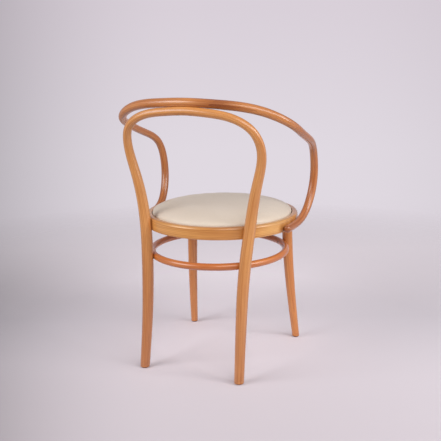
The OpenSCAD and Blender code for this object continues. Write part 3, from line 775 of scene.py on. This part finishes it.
def turnedPiece(name, outline, centre, segments):  # a closed outline of (radius, height) carried round
    bm = bmesh.new()
    loops = [[spun(bm, r, z, centre, i, segments) for r, z in outline] for i in range(segments)]
    for i in range(segments):
        a, b = loops[i], loops[(i + 1) % segments]
        for k in range(len(outline)):
            n = (k + 1) % len(outline)
            bm.faces.new((a[k], b[k], b[n], a[n]))
    outwardFaces(bm)
    return fromBmesh(bm, name)


def joinLoops(bm, loops):
    for a, b in zip(loops, loops[1:]):
        for i in range(len(a)):
            n = (i + 1) % len(a)
            bm.faces.new((a[i], a[n], b[n], b[i]))


def lathed(name, outline, centre, segments):  # an outline that starts and ends on the axis
    bm = bmesh.new()
    first, last = (bm.verts.new((centre[0], centre[1], centre[2] + outline[k][1])) for k in (0, -1))
    loops = [[spun(bm, r, z, centre, i, segments) for i in range(segments)] for r, z in outline[1:-1]]
    for i in range(segments):
        n = (i + 1) % segments
        bm.faces.new((first, loops[0][n], loops[0][i]))
        bm.faces.new((last, loops[-1][i], loops[-1][n]))
    joinLoops(bm, loops)
    outwardFaces(bm)
    return fromBmesh(bm, name)


def grainRound(piece, centre, midRadius, midHeight, seam=-90):  # grain runs round, and meets itself at the seam
    mesh = piece.data
    old = mesh.attributes.get("grain")
    if old:
        mesh.attributes.remove(old)
    co = points(piece)
    corner = np.zeros(len(mesh.loops), int)
    mesh.loops.foreach_get("vertex_index", corner)
    turn = np.mod(np.degrees(np.arctan2(co[:, 1] - centre[1], co[:, 0] - centre[0])) - seam, 360)
    turns = turn[corner]
    starts = np.array([p.loop_start for p in mesh.polygons])
    sizes = np.array([p.loop_total for p in mesh.polygons])
    face = np.repeat(np.arange(len(starts)), sizes)
    high = np.maximum.reduceat(turns, starts)
    turns = np.where((high[face] > 270) & (turns < 90), turns + 360, turns)  # faces that cross the seam
    radius = np.hypot(co[:, 0] - centre[0], co[:, 1] - centre[1])[corner] - midRadius
    values = np.stack([radius, co[corner, 2] - midHeight, np.radians(turns) * midRadius], axis=1).astype(np.float32)
    mesh.attributes.new("grain", "FLOAT_VECTOR", "CORNER").data.foreach_set("vector", values.ravel())


ring = {
    "outer": 219 * mm, "inner": 183 * mm, "rim": 203 * mm, "middle": 201 * mm,
    "top": 421 * mm, "low": 387 * mm, "rebate": 409 * mm, "halfway": 404 * mm,
    "topRound": 7 * mm, "lowRound": 3 * mm, "innerRound": 1.2 * mm,
    "faceInset": 12 * mm, "sideRows": (10 * mm, 18 * mm),
    "legAngle": 47.825, "legFlat": 217.8 * mm, "legFlatHalves": (40 * mm, 36 * mm), "legScrewHeight": 398 * mm,
    "spotRadius": 8.3 * mm, "legScrewStart": 183.938 * mm, "legBore": 3.15 * mm,
    "armAngle": 12, "armScrewHeight": 398.63 * mm, "armScrewStart": 195 * mm,
    "tenonAngle": -37.54, "tenonScrewHeight": 395.5 * mm, "tenonScrewStart": 183.15 * mm,
    "mortise": (157 * mm, -128.77 * mm, 10.15 * mm, 22.3 * mm),
    "boardScrewAngles": (25, 155, 245, 295), "boardScrewRadius": 193 * mm,
    "boreStart": 0.16, "legBoreStart": 0.17, "legBoreLength": 0.06, "under": 5 * mm,
    "segments": 300,
}


def makeRing():
    o, i, rim, top, low, step = (ring[k] for k in ("outer", "inner", "rim", "top", "low", "rebate"))
    a, b, c, inset = ring["topRound"], ring["lowRound"], ring["innerRound"], ring["faceInset"]
    outline = arc(i + c, low + c, c, 180, 270, 4)
    outline += [(i + inset, low), (o - inset, low)]
    outline += arc(o - b, low + b, b, -90, 0, 6)
    outline += [(o, low + up) for up in ring["sideRows"]]
    outline += arc(o - a, top - a, a, 0, 90, 12)
    outline += arc(rim + c, top - c, c, 90, 180, 4)
    outline += [(rim, step), (i + c, step)] + arc(i + c, step - c, c, 90, 180, 4)[1:]
    piece = turnedPiece("seatRing", outline, (0, seatY, 0), ring["segments"])
    for angle in (ring["legAngle"], 180 - ring["legAngle"]):
        flatAt(piece, angle, seatY, ring["halfway"], ring["legFlat"], *ring["legFlatHalves"], sign=-1)
    holes = []
    middle = Vector((0, seatY, 0))
    for kind in ("arm", "tenon", "leg"):
        radius, end = wood["headRadius"], ring[kind + "ScrewStart"] + wood["headDepth"]
        if kind == "leg":
            radius, end = ring["spotRadius"], ring["legScrewStart"]
        level = middle + Vector((0, 0, ring[kind + "ScrewHeight"]))
        for way in bothSides(ring[kind + "Angle"]):
            holes.append((level + way * ring["boreStart"], way, radius, end - ring["boreStart"]))
            if kind == "leg":
                holes.append((level + way * ring["legBoreStart"], way, ring["legBore"], ring["legBoreLength"]))
    up, under = (0, 0, 1), low - ring["under"]
    for angle in ring["boardScrewAngles"]:
        foot = middle + outward(angle) * ring["boardScrewRadius"] + Vector((0, 0, under))
        holes.append((foot, up, wood["headRadius"], ring["under"] + 2 * wood["headDepth"]))
    x, y, radius, depth = ring["mortise"]
    for side in (x, -x):
        holes.append(((side, y, under), up, radius, depth))
    piece = carved(piece, bores("ringBores", holes))
    grainRound(piece, (0, seatY), ring["middle"], ring["halfway"])
    return dressed(piece, ringBeech)


def makeBrace():
    outline = arc(brace["radius"], 0, brace["rod"], 0, 360, 40)[:-1]
    middle = Vector((0, brace["centre"], brace["height"]))
    piece = turnedPiece("roundStretcher", outline, middle, brace["segments"])
    holes = []
    for angle in (brace["rear"], 180 - brace["rear"], brace["front"], 180 - brace["front"]):
        flatAt(piece, angle, brace["centre"], brace["height"], brace["flat"], *brace["flatHalves"], sign=-1)
        way, start = outward(angle), brace["boreStart"]
        holes.append((middle + way * start, way, wood["headRadius"], brace["screwStart"] + wood["headDepth"] - start))
    piece = carved(piece, bores("braceBores", holes))
    grainRound(piece, (0, brace["centre"]), brace["radius"], brace["height"], brace["seam"])
    return dressed(piece, braceBeech)


seatRing = makeRing()
stretcher = makeBrace()

board = {"radius": 200 * mm, "low": 410.55 * mm, "top": 419.55 * mm, "ease": 0.8 * mm, "rows": 8, "segments": 120}


def makeBoard():
    r, low, top, e, rows = (board[k] for k in ("radius", "low", "top", "ease", "rows"))
    outline = [(0, low)] + [(r * k / rows, low) for k in range(1, rows)]
    outline += arc(r - e, low + e, e, -90, 0, 3) + arc(r - e, top - e, e, 0, 90, 3)
    outline += [(r * k / rows, top) for k in range(rows - 1, 0, -1)] + [(0, top)]
    piece = lathed("seatBoard", outline, (0, seatY, 0), board["segments"])
    return dressed(piece, boardPly)


seatBoard = makeBoard()
print("ring, stretcher and board made")


cushion = {
    "radius": 202.7 * mm, "rim": 421 * mm, "crown": 26 * mm, "low": 409.2 * mm,
    "powers": (4.5, 2.0),        # how square the crown's profile is, across and up
    "start": 2.5 * mm,           # how much smaller the pad starts than it ends
    "segments": 160, "crownRows": 24,
    "voxel": 5 * mm,
    "pressure": 4.0, "quality": 6, "frames": 20,
    "heldHeight": 5 * mm,        # the edge is held fast up to here over the rim
    "cap": 6 * mm,               # how far the filling may move a point
    "crownShare": 0.75,          # the finished height follows the crown, and keeps a share of what the filling did
    "smoothing": (0.5, 3),
}


def crownHeight(radius):  # height of the finished crown over the rim at a radius
    t = np.clip(radius / cushion["radius"], 0, 1)
    cosine = t ** (cushion["powers"][0] / 2)
    return cushion["crown"] * np.sqrt(np.clip(1 - cosine**2, 0, 1)) ** (2 / cushion["powers"][1])


def fillPad(pad, start):  # cloth under pressure, held at its edge
    look = cushion
    held = pad.vertex_groups.new(name="held")
    for i, p in enumerate(start):
        weight = min(1, max(0, (look["rim"] + look["heldHeight"] - p[2]) / look["heldHeight"]))
        if weight > 0:
            held.add([i], float(weight), "REPLACE")
    cloth = pad.modifiers.new("fill", "CLOTH")
    settings = cloth.settings
    settings.use_pressure, settings.uniform_pressure_force = True, look["pressure"]
    settings.vertex_group_mass = "held"
    settings.effector_weights.gravity = 0
    settings.quality = look["quality"]
    cloth.point_cache.frame_start, cloth.point_cache.frame_end = 1, look["frames"]
    for f in range(1, look["frames"] + 1):
        scene.frame_set(f)
    pad = baked(pad, "seatCushion")
    scene.frame_set(1)
    return pad


def makeCushion():
    look = cushion
    shrink, low, rim = look["start"], look["low"], look["rim"]
    r0 = look["radius"] - shrink * 0.4
    outline = [(0, low), (r0 * 0.5, low), (r0 - 3 * mm, low), (r0 - 1 * mm, low + 1.5 * mm), (r0, rim - 4 * mm)]
    for k in range(look["crownRows"] + 1):
        w = math.radians(90 * k / look["crownRows"])
        outline.append((r0 * math.cos(w) ** (2 / look["powers"][0]), rim + (look["crown"] - shrink) * math.sin(w)))
    outline[-1] = (0, rim + look["crown"] - shrink)
    pad = lathed("seatCushion", outline, (0, seatY, 0), look["segments"])
    remesh = pad.modifiers.new("even", "REMESH")
    remesh.mode, remesh.voxel_size = "VOXEL", look["voxel"]
    pad = baked(pad, "seatCushion")
    start = points(pad)
    pad = fillPad(pad, start)
    co = points(pad)
    if len(co) == len(start):
        move = co - start
        size = np.linalg.norm(move, axis=1)
        print("cushion swelled up to %.1f mm" % (size.max() / mm))
        co = start + move * np.minimum(1, look["cap"] / np.maximum(size, 1e-9))[:, None]
    top = co[:, 2] > rim + 1 * mm
    goal = rim + crownHeight(np.hypot(co[:, 0], co[:, 1] - seatY))
    co[top, 2] = goal[top] * look["crownShare"] + co[top, 2] * (1 - look["crownShare"])
    movePoints(pad, co)
    soft = pad.modifiers.new("soft", "SMOOTH")
    soft.factor, soft.iterations = look["smoothing"]
    finer = pad.modifiers.new("finer", "SUBSURF")
    finer.levels = finer.render_levels = 1
    pad = baked(pad, "seatCushion")
    withBmesh(pad, outwardFaces)
    giveMaterial(pad, creamLeather)
    pad.data.shade_smooth()
    return pad


seatCushion = makeCushion()
print("cushion filled,", len(seatCushion.data.polygons), "faces")


screwLook = {
    "threadPitch": 1.7 * mm, "threadDepth": 0.45 * mm, "threadSides": 14, "threadSteps": 4,
    "neck": 3 * mm,  # plain part of the shank, under the head
    "tipSize": 0.08, "thinnest": 0.2 * mm,
    "sides": 24, "head": [(4 * mm, 0.0), (4 * mm, 0.35 * mm), (2.2 * mm, 2.3 * mm)],  # radius and depth
    "shank": 2 * mm, "point": 5 * mm,
    "recess": 1.5 * mm, "recessWidth": 0.9 * mm, "recessLength": 4.6 * mm, "recessTaper": 0.45,
    "hexHead": 4.5 * mm, "hexFlats": 10 * mm, "hexShank": 3 * mm, "hexPoint": 4 * mm, "hexBite": 20 * mm,
    "washer": (8 * mm, 3.2 * mm, 1.5 * mm), "washerEase": 0.25 * mm,  # outer radius, hole and thickness
}


def helixShank(bm, radius, start, length, point):  # threaded shank along Z with a drawn-out point
    look = screwLook
    sides, rows = look["threadSides"], max(8, round(length / (look["threadPitch"] / look["threadSteps"])))
    loops = []
    for j in range(rows + 1):
        z = start + length * j / rows
        taper = min(1, (start + length - z) / point + look["tipSize"])
        loop = []
        for i in range(sides):
            phase = (z / look["threadPitch"] - i / sides) % 1
            crest = 1 - abs(2 * phase - 1)
            thread = look["threadDepth"] * (crest - 1) if z > start + look["neck"] else 0
            loop.append(spun(bm, max(look["thinnest"], radius + thread) * taper, z, (0, 0, 0), i, sides))
        loops.append(loop)
    joinLoops(bm, loops)
    bm.faces.new(loops[0][::-1])
    bm.faces.new(loops[-1])


def crossScrew(name, length):  # countersunk wood screw, head's face at z = 0, pointing along +Z
    look = screwLook
    sides, under = look["sides"], look["head"][-1][1]
    head = bmesh.new()
    loops = [[spun(head, r, z, (0, 0, 0), i, sides) for i in range(sides)] for r, z in look["head"]]
    joinLoops(head, loops)
    head.faces.new(loops[0][::-1])
    head.faces.new(loops[-1])
    outwardFaces(head)
    screw = fromBmesh(head, name)
    cross = bmesh.new()
    slot = Matrix.Diagonal((look["recessLength"], look["recessWidth"], 2 * look["recess"], 1))
    for turn in (0, math.pi / 2):
        made = bmesh.ops.create_cube(cross, size=1, matrix=Matrix.Rotation(turn, 4, "Z") @ slot)
        for v in made["verts"]:
            if v.co.z > 0:
                v.co.x *= look["recessTaper"]
                v.co.y *= look["recessTaper"]
    screw = carved(screw, fromBmesh(cross, "cross"))
    withBmesh(screw, lambda bm: helixShank(bm, look["shank"], under, length - under, look["point"]))
    return screw


def hexScrew(name, length):  # hexagon-head screw, head's top at z = 0
    look = screwLook
    high, flats = look["hexHead"], look["hexFlats"]
    bm = bmesh.new()
    addCylinder(bm, flats / math.sqrt(3), high, 6, Matrix.Translation((0, 0, high / 2)))
    screw = fromBmesh(bm, name)
    wide, past = flats * 0.62, high + 1 * mm
    limit = lathed("limit", [(0, 0), (flats * 0.47, 0), (wide, 1.2 * mm), (wide, past), (0, past)], (0, 0, 0), 48)
    modifier = screw.modifiers.new("chamfer", "BOOLEAN")
    modifier.operation, modifier.object, modifier.solver = "INTERSECT", limit, "EXACT"
    screw = baked(screw, name)
    bpy.data.objects.remove(limit)
    withBmesh(screw, lambda bm: helixShank(bm, look["hexShank"], high, length - high, look["hexPoint"]))
    return screw


def washer(name):
    (r, hole, t), e = screwLook["washer"], screwLook["washerEase"]
    outline = [(hole, e), (hole + e, 0), (r - e, 0), (r, e), (r, t - e), (r - e, t), (hole + e, t), (hole, t - e)]
    return turnedPiece(name, outline, (0, 0, 0), 40)


def fastenerSet(name, fastener, places, material):  # places are rows of start and direction
    mesh = bpy.data.meshes.new(name)
    mesh.from_pydata([tuple(p) for p, aim in places], [], [])
    aims = [c for p, aim in places for c in Vector(aim).normalized()]
    mesh.attributes.new("aim", "FLOAT_VECTOR", "POINT").data.foreach_set("vector", aims)
    host = linkNew(name, mesh)
    useTree(host, fastenerTree, {"Fastener": fastener, "Material": material})
    piece = baked(host, name)
    bpy.data.objects.remove(fastener)
    return dressed(piece, material, 30)


def roundPlaces(angles, centreY, height, reach):  # on both sides of the chair, pointing out
    middle = Vector((0, centreY, height))
    return [(middle + way * reach, way) for angle in angles for way in bothSides(angle)]


def roundRing(kind, reach):
    return roundPlaces([ring[kind + "Angle"]], seatY, ring[kind + "ScrewHeight"], reach)


spotStart = ring["legScrewStart"] - screwLook["washer"][2]
hexStart = spotStart - screwLook["hexHead"]
boardLow = Vector((0, seatY, ring["low"] + wood["headDepth"]))
boardPlaces = [(boardLow + outward(a) * ring["boardScrewRadius"], (0, 0, 1)) for a in ring["boardScrewAngles"]]
hoopPlaces = [(topMiddle + Vector((x, 0, 0)) - topAim * topFlat, topAim) for x in topScrews]
bracePlaces = roundPlaces([brace["rear"], brace["front"]], brace["centre"], brace["height"], brace["screwStart"])
sets = [
    ("rearLegScrews", hexScrew("hex", ring["legFlat"] + screwLook["hexBite"] - hexStart), roundRing("leg", hexStart),
     "rear_leg_screws"),
    ("rearLegWashers", washer("ringWasher"), roundRing("leg", spotStart), "rear_leg_washers"),
    ("armScrews", crossScrew("wood36", 36 * mm), roundRing("arm", ring["armScrewStart"]), "arm_screws"),
    ("tenonScrews", crossScrew("wood22", 22.35 * mm), roundRing("tenon", ring["tenonScrewStart"]), "tenon_screws"),
    ("stretcherScrews", crossScrew("wood29", 29.1 * mm), bracePlaces, "stretcher_screws"),
    ("hoopScrews", crossScrew("wood33", 32.6 * mm), hoopPlaces, "hoop_screws"),
    ("boardScrews", crossScrew("wood27", 27.4 * mm), boardPlaces, "board_screws"),
]
for name, fastener, places, node in sets:
    seated(fastenerSet(name, fastener, places, zincSteel), "zinc_steel", node)

glide = {
    "radius": 8.5 * mm, "height": 3 * mm, "ease": 0.7 * mm,
    "pin": 2.5 * mm, "pinLength": 14 * mm, "pinTaper": 2 * mm,
}
feet = {
    "rear_left": (145, 213.9), "rear_right": (-145, 213.9),
    "front_left": (176, -163.1), "front_right": (-176, -163.1),
}
for place, (x, y) in feet.items():
    r, h, e, p = glide["radius"], glide["height"], glide["ease"], glide["pin"]
    end = h + glide["pinLength"]
    outline = [(0, 0), (r * 0.5, 0)] + arc(r - e, e, e, -90, 0, 4) + arc(r - e * 0.5, h - e * 0.5, e * 0.5, 0, 90, 3)
    outline += [(p, h), (p, end - glide["pinTaper"]), (p * 0.5, end), (0, end)]
    foot = lathed("glide" + place.title().replace("_", ""), outline, (x * mm, y * mm, 0), 40)
    dressed(foot, glideNylon)
    seated(foot, "glide_plastic", "glide_" + place)
print("screws, washers and glides made")

seated(backHoop, "beech", "back_hoop")
seated(railLeft, "beech_light", "rail_left")
seated(railRight, "beech_red", "rail_right")
seated(legLeft, "beech", "front_leg_left")
seated(legRight, "beech", "front_leg_right")
seated(seatRing, "beech_ring", "seat_ring")
seated(stretcher, "beech_red", "stretcher")
seated(seatBoard, "plywood", "seat_board")
seated(seatCushion, "cream_leather", "seat_cover", "seat_foam")


studio = {
    "azimuth": 203.11, "elevation": 12.64, "roll": -0.42, "distance": 2.2103,
    "aim": (0, -8.125 * mm, 0.42), "sideways": -0.05565, "upwards": 0.00243,
    "focalPixels": 760.11, "frameShift": (20.78, -9.3), "framePixels": 441, "sensor": 36,
    "floorRadius": 6.0, "fade": (0.75, 2.1),  # the floor turns clear between these distances
    # floor colours darker near the camera and paler far off: painted shade and light that even out the lamps' falloff
    "floorNear": tone(202, 194, 202), "floorMiddle": tone(219, 212, 221), "floorFar": tone(255, 245, 253),
    "farToMiddle": (-1.1, -0.25), "middleToNear": (-0.2, 0.6),
    "fibreScale": 400, "floorRoughness": (0.6, 0.72), "floorSpecular": 0.25,
    "wallHigh": tone(217, 208, 217), "wallMiddle": tone(224, 217, 225), "wallLow": tone(216, 208, 216),
    "middleToHigh": (-0.14, 0.04), "lowToMiddle": (-0.3, -0.2),
    "leftEdge": 0.06, "leftDim": 5.3, "rightEdge": 0.1, "rightDim": 2.2, "leastDim": 0.55,  # darker towards the sides
    "bandFar": (-1.25, -0.6), "bandNear": (-0.45, 0.1),  # painted shade: the darker sweep behind the chair
    "bandSides": (-0.35, -0.85), "bandDepth": (0.05, 0.17),
    # painted light on the floor under the seat, against the seat's shadow, and a painted duller spot to its right:
    # forward, beside, radius, gain
    "patches": [(-0.45, -0.06, 0.5, 0.4), (-0.42, 0.19, 0.22, -0.1)],
    "eyeDistance": 2.16,
    "ceiling": (0.1, 0.45), "ceilingDark": 0.6,      # the dark ceiling in reflections
    "softCeiling": (0.3, 0.8), "ceilingSoft": 0.8,   # and in soft light
    "room": (-0.1, 0.5), "roomDark": 0.12,           # the room behind the camera, as glossy wood sees it
    "ambientBack": 0.35, "ambientFront": 0.37, "ambientTone": (1.0, 0.985, 1.0, 1),  # soft fill
    "lampAim": (0, 0, 0.4),
}
lamps = {  # metres to the right, towards the camera and up, size, watts, colour
    "keyRight": (2.1, 1.1, 1.3, (1.1, 1.2), 28, (1.0, 0.985, 0.96)),
    "fillLeft": (-2.0, 1.05, 1.15, (1.5, 1.3), 34, (1.0, 0.99, 0.97)),
    "bankBehindCamera": (0.75, 2.0, 1.7, (1.9, 1.1), 32, (1.0, 0.99, 0.97)),
    "panelRight": (1.15, 0.25, 0.35, (0.9, 1.1), 1.6, (1.0, 0.985, 0.96)),
}
azimuth, elevation, roll = (math.radians(studio[k]) for k in ("azimuth", "elevation", "roll"))
levelBack = Vector((math.sin(azimuth), -math.cos(azimuth), 0))
flat = math.cos(elevation)
backward = Vector((math.sin(azimuth) * flat, -math.cos(azimuth) * flat, math.sin(elevation)))
rightward = Vector((math.cos(azimuth), math.sin(azimuth), 0))
upward = backward.cross(rightward)
across = math.cos(roll) * rightward + math.sin(roll) * upward
above = -math.sin(roll) * rightward + math.cos(roll) * upward


def makeCamera():
    data = bpy.data.cameras.new("camera")
    camera = linkNew("camera", data)
    place = Vector(studio["aim"]) + backward * studio["distance"]
    place = place - across * studio["sideways"] - above * studio["upwards"]
    camera.matrix_world = Matrix.Translation(place) @ Matrix((across, above, backward)).transposed().to_4x4()
    data.sensor_width = studio["sensor"]
    data.lens = studio["focalPixels"] * studio["sensor"] / studio["framePixels"]
    data.shift_x = -studio["frameShift"][0] / studio["framePixels"]
    data.shift_y = studio["frameShift"][1] / studio["framePixels"]
    data.clip_end = 50
    scene.camera = camera


def sideDim(tree, slant, rightDim):
    left = ranged(tree, slant, -studio["leftEdge"] - 1, -studio["leftEdge"], 1, 0)
    right = ranged(tree, slant, studio["rightEdge"], studio["rightEdge"] + 1, 0, 1)
    left, right = sums(tree, "POWER", left, 2), sums(tree, "POWER", right, 2)
    shade = weighed(tree, (left, studio["leftDim"]), (right, rightDim))
    return sums(tree, "MAXIMUM", sums(tree, "SUBTRACT", 1, shade), studio["leastDim"])


def makeFloor():
    bm = bmesh.new()
    bmesh.ops.create_circle(bm, cap_ends=True, segments=96, radius=studio["floorRadius"])
    floor = fromBmesh(bm, "floor")
    material, tree, shader, spot = newMaterial("paperFloor")
    near = measured(tree, "DOT_PRODUCT", spot, levelBack)
    aside = measured(tree, "DOT_PRODUCT", spot, rightward)
    colour = mixed(tree, ranged(tree, near, *studio["farToMiddle"], 0, 1), studio["floorFar"], studio["floorMiddle"])
    colour = mixed(tree, ranged(tree, near, *studio["middleToNear"], 0, 1), colour, studio["floorNear"])
    band = ranged(tree, near, *studio["bandFar"], 0, 1)
    band = sums(tree, "MULTIPLY", band, ranged(tree, near, *studio["bandNear"], 1, 0))
    band = sums(tree, "MULTIPLY", band, ranged(tree, aside, *studio["bandSides"], *studio["bandDepth"]))
    level = sums(tree, "SUBTRACT", 1, band)
    # painted light and shade in the floor's colour
    for forward, beside, radius, gain in studio["patches"]:
        away = measured(tree, "DISTANCE", spot, levelBack * forward + rightward * beside)
        away = sums(tree, "POWER", sums(tree, "DIVIDE", away, radius), 2)
        paintedPool = sums(tree, "EXPONENT", sums(tree, "MULTIPLY", away, -1), 0)
        level = sums(tree, "MULTIPLY", level, sums(tree, "ADD", 1, sums(tree, "MULTIPLY", paintedPool, gain)))
    slant = sums(tree, "DIVIDE", aside, sums(tree, "SUBTRACT", studio["eyeDistance"], near))
    # painted shade: the floor darker towards its left side
    colour = mixed(tree, 1.0, colour, sideDim(tree, slant, 0), "MULTIPLY")
    fibre = noise(tree, spot, studio["fibreScale"], 4).outputs[0]
    feed(tree, shader, {
        "Base Color": mixed(tree, 1.0, colour, level, "MULTIPLY"),
        "Roughness": ranged(tree, fibre, 0.3, 0.7, *studio["floorRoughness"]),
        "Specular IOR Level": studio["floorSpecular"],
    })
    fade = ranged(tree, measured(tree, "LENGTH", spot), *studio["fade"], 0, 1)
    clear = output(tree, "ShaderNodeBsdfTransparent")
    blend = output(tree, "ShaderNodeMixShader", {0: fade, 1: shader.outputs[0], 2: clear})
    feed(tree, tree.nodes["Material Output"], {"Surface": blend})
    giveMaterial(floor, material)


def makeWorld():
    world = bpy.data.worlds.new("studio")
    scene.world = world
    world.use_nodes = True
    tree = world.node_tree
    tree.nodes.clear()
    sight = addNode(tree, "ShaderNodeTexCoord").outputs["Generated"]
    height = upPart(tree, sight)
    wall = mixed(tree, ranged(tree, height, *studio["middleToHigh"], 0, 1), studio["wallMiddle"], studio["wallHigh"])
    wall = mixed(tree, ranged(tree, height, *studio["lowToMiddle"], 1, 0), wall, studio["wallLow"])
    dim = sideDim(tree, measured(tree, "DOT_PRODUCT", sight, rightward), studio["rightDim"])
    wall = mixed(tree, 1.0, wall, dim, "MULTIPLY")
    front = ranged(tree, measured(tree, "DOT_PRODUCT", sight, levelBack), *studio["room"], 0, 1)

    def sky(colour, back, room, ceiling, dark):
        strength = ranged(tree, front, 0, 1, back, room)
        strength = sums(tree, "MULTIPLY", strength, ranged(tree, height, *ceiling, 1, dark))
        return output(tree, "ShaderNodeBackground", {"Color": colour, "Strength": strength})
    backdrop = sky(wall, 1.0, studio["roomDark"], studio["ceiling"], studio["ceilingDark"])
    ambient = sky(studio["ambientTone"], studio["ambientBack"], studio["ambientFront"], studio["softCeiling"],
                  studio["ceilingSoft"])
    clear = output(tree, "ShaderNodeBackground", {"Color": wall, "Strength": 1.0})
    ray = addNode(tree, "ShaderNodeLightPath").outputs
    seen = sums(tree, "MAXIMUM", ray["Is Glossy Ray"], ray["Is Transmission Ray"])
    blend = output(tree, "ShaderNodeMixShader", {0: seen, 1: ambient, 2: backdrop})
    blend = output(tree, "ShaderNodeMixShader", {0: ray["Is Camera Ray"], 1: blend, 2: clear})
    addNode(tree, "ShaderNodeOutputWorld", {"Surface": blend})


def softbox(name, right, near, up, size, watts, colour):
    data = bpy.data.lights.new(name, "AREA")
    data.shape, data.size, data.size_y = "RECTANGLE", size[0], size[1]
    data.energy, data.color = watts, colour
    lamp = linkNew(name, data)
    aim = Vector(studio["lampAim"])
    lamp.location = aim + rightward * right + levelBack * near + Vector((0, 0, up))
    lamp.rotation_euler = (aim - lamp.location).to_track_quat("-Z", "Y").to_euler()
    lamp.visible_camera = False


makeCamera()
makeFloor()
makeWorld()
for name, values in lamps.items():
    softbox(name, *values)
scene.view_settings.view_transform = "Standard"
print("floor, light and camera set")
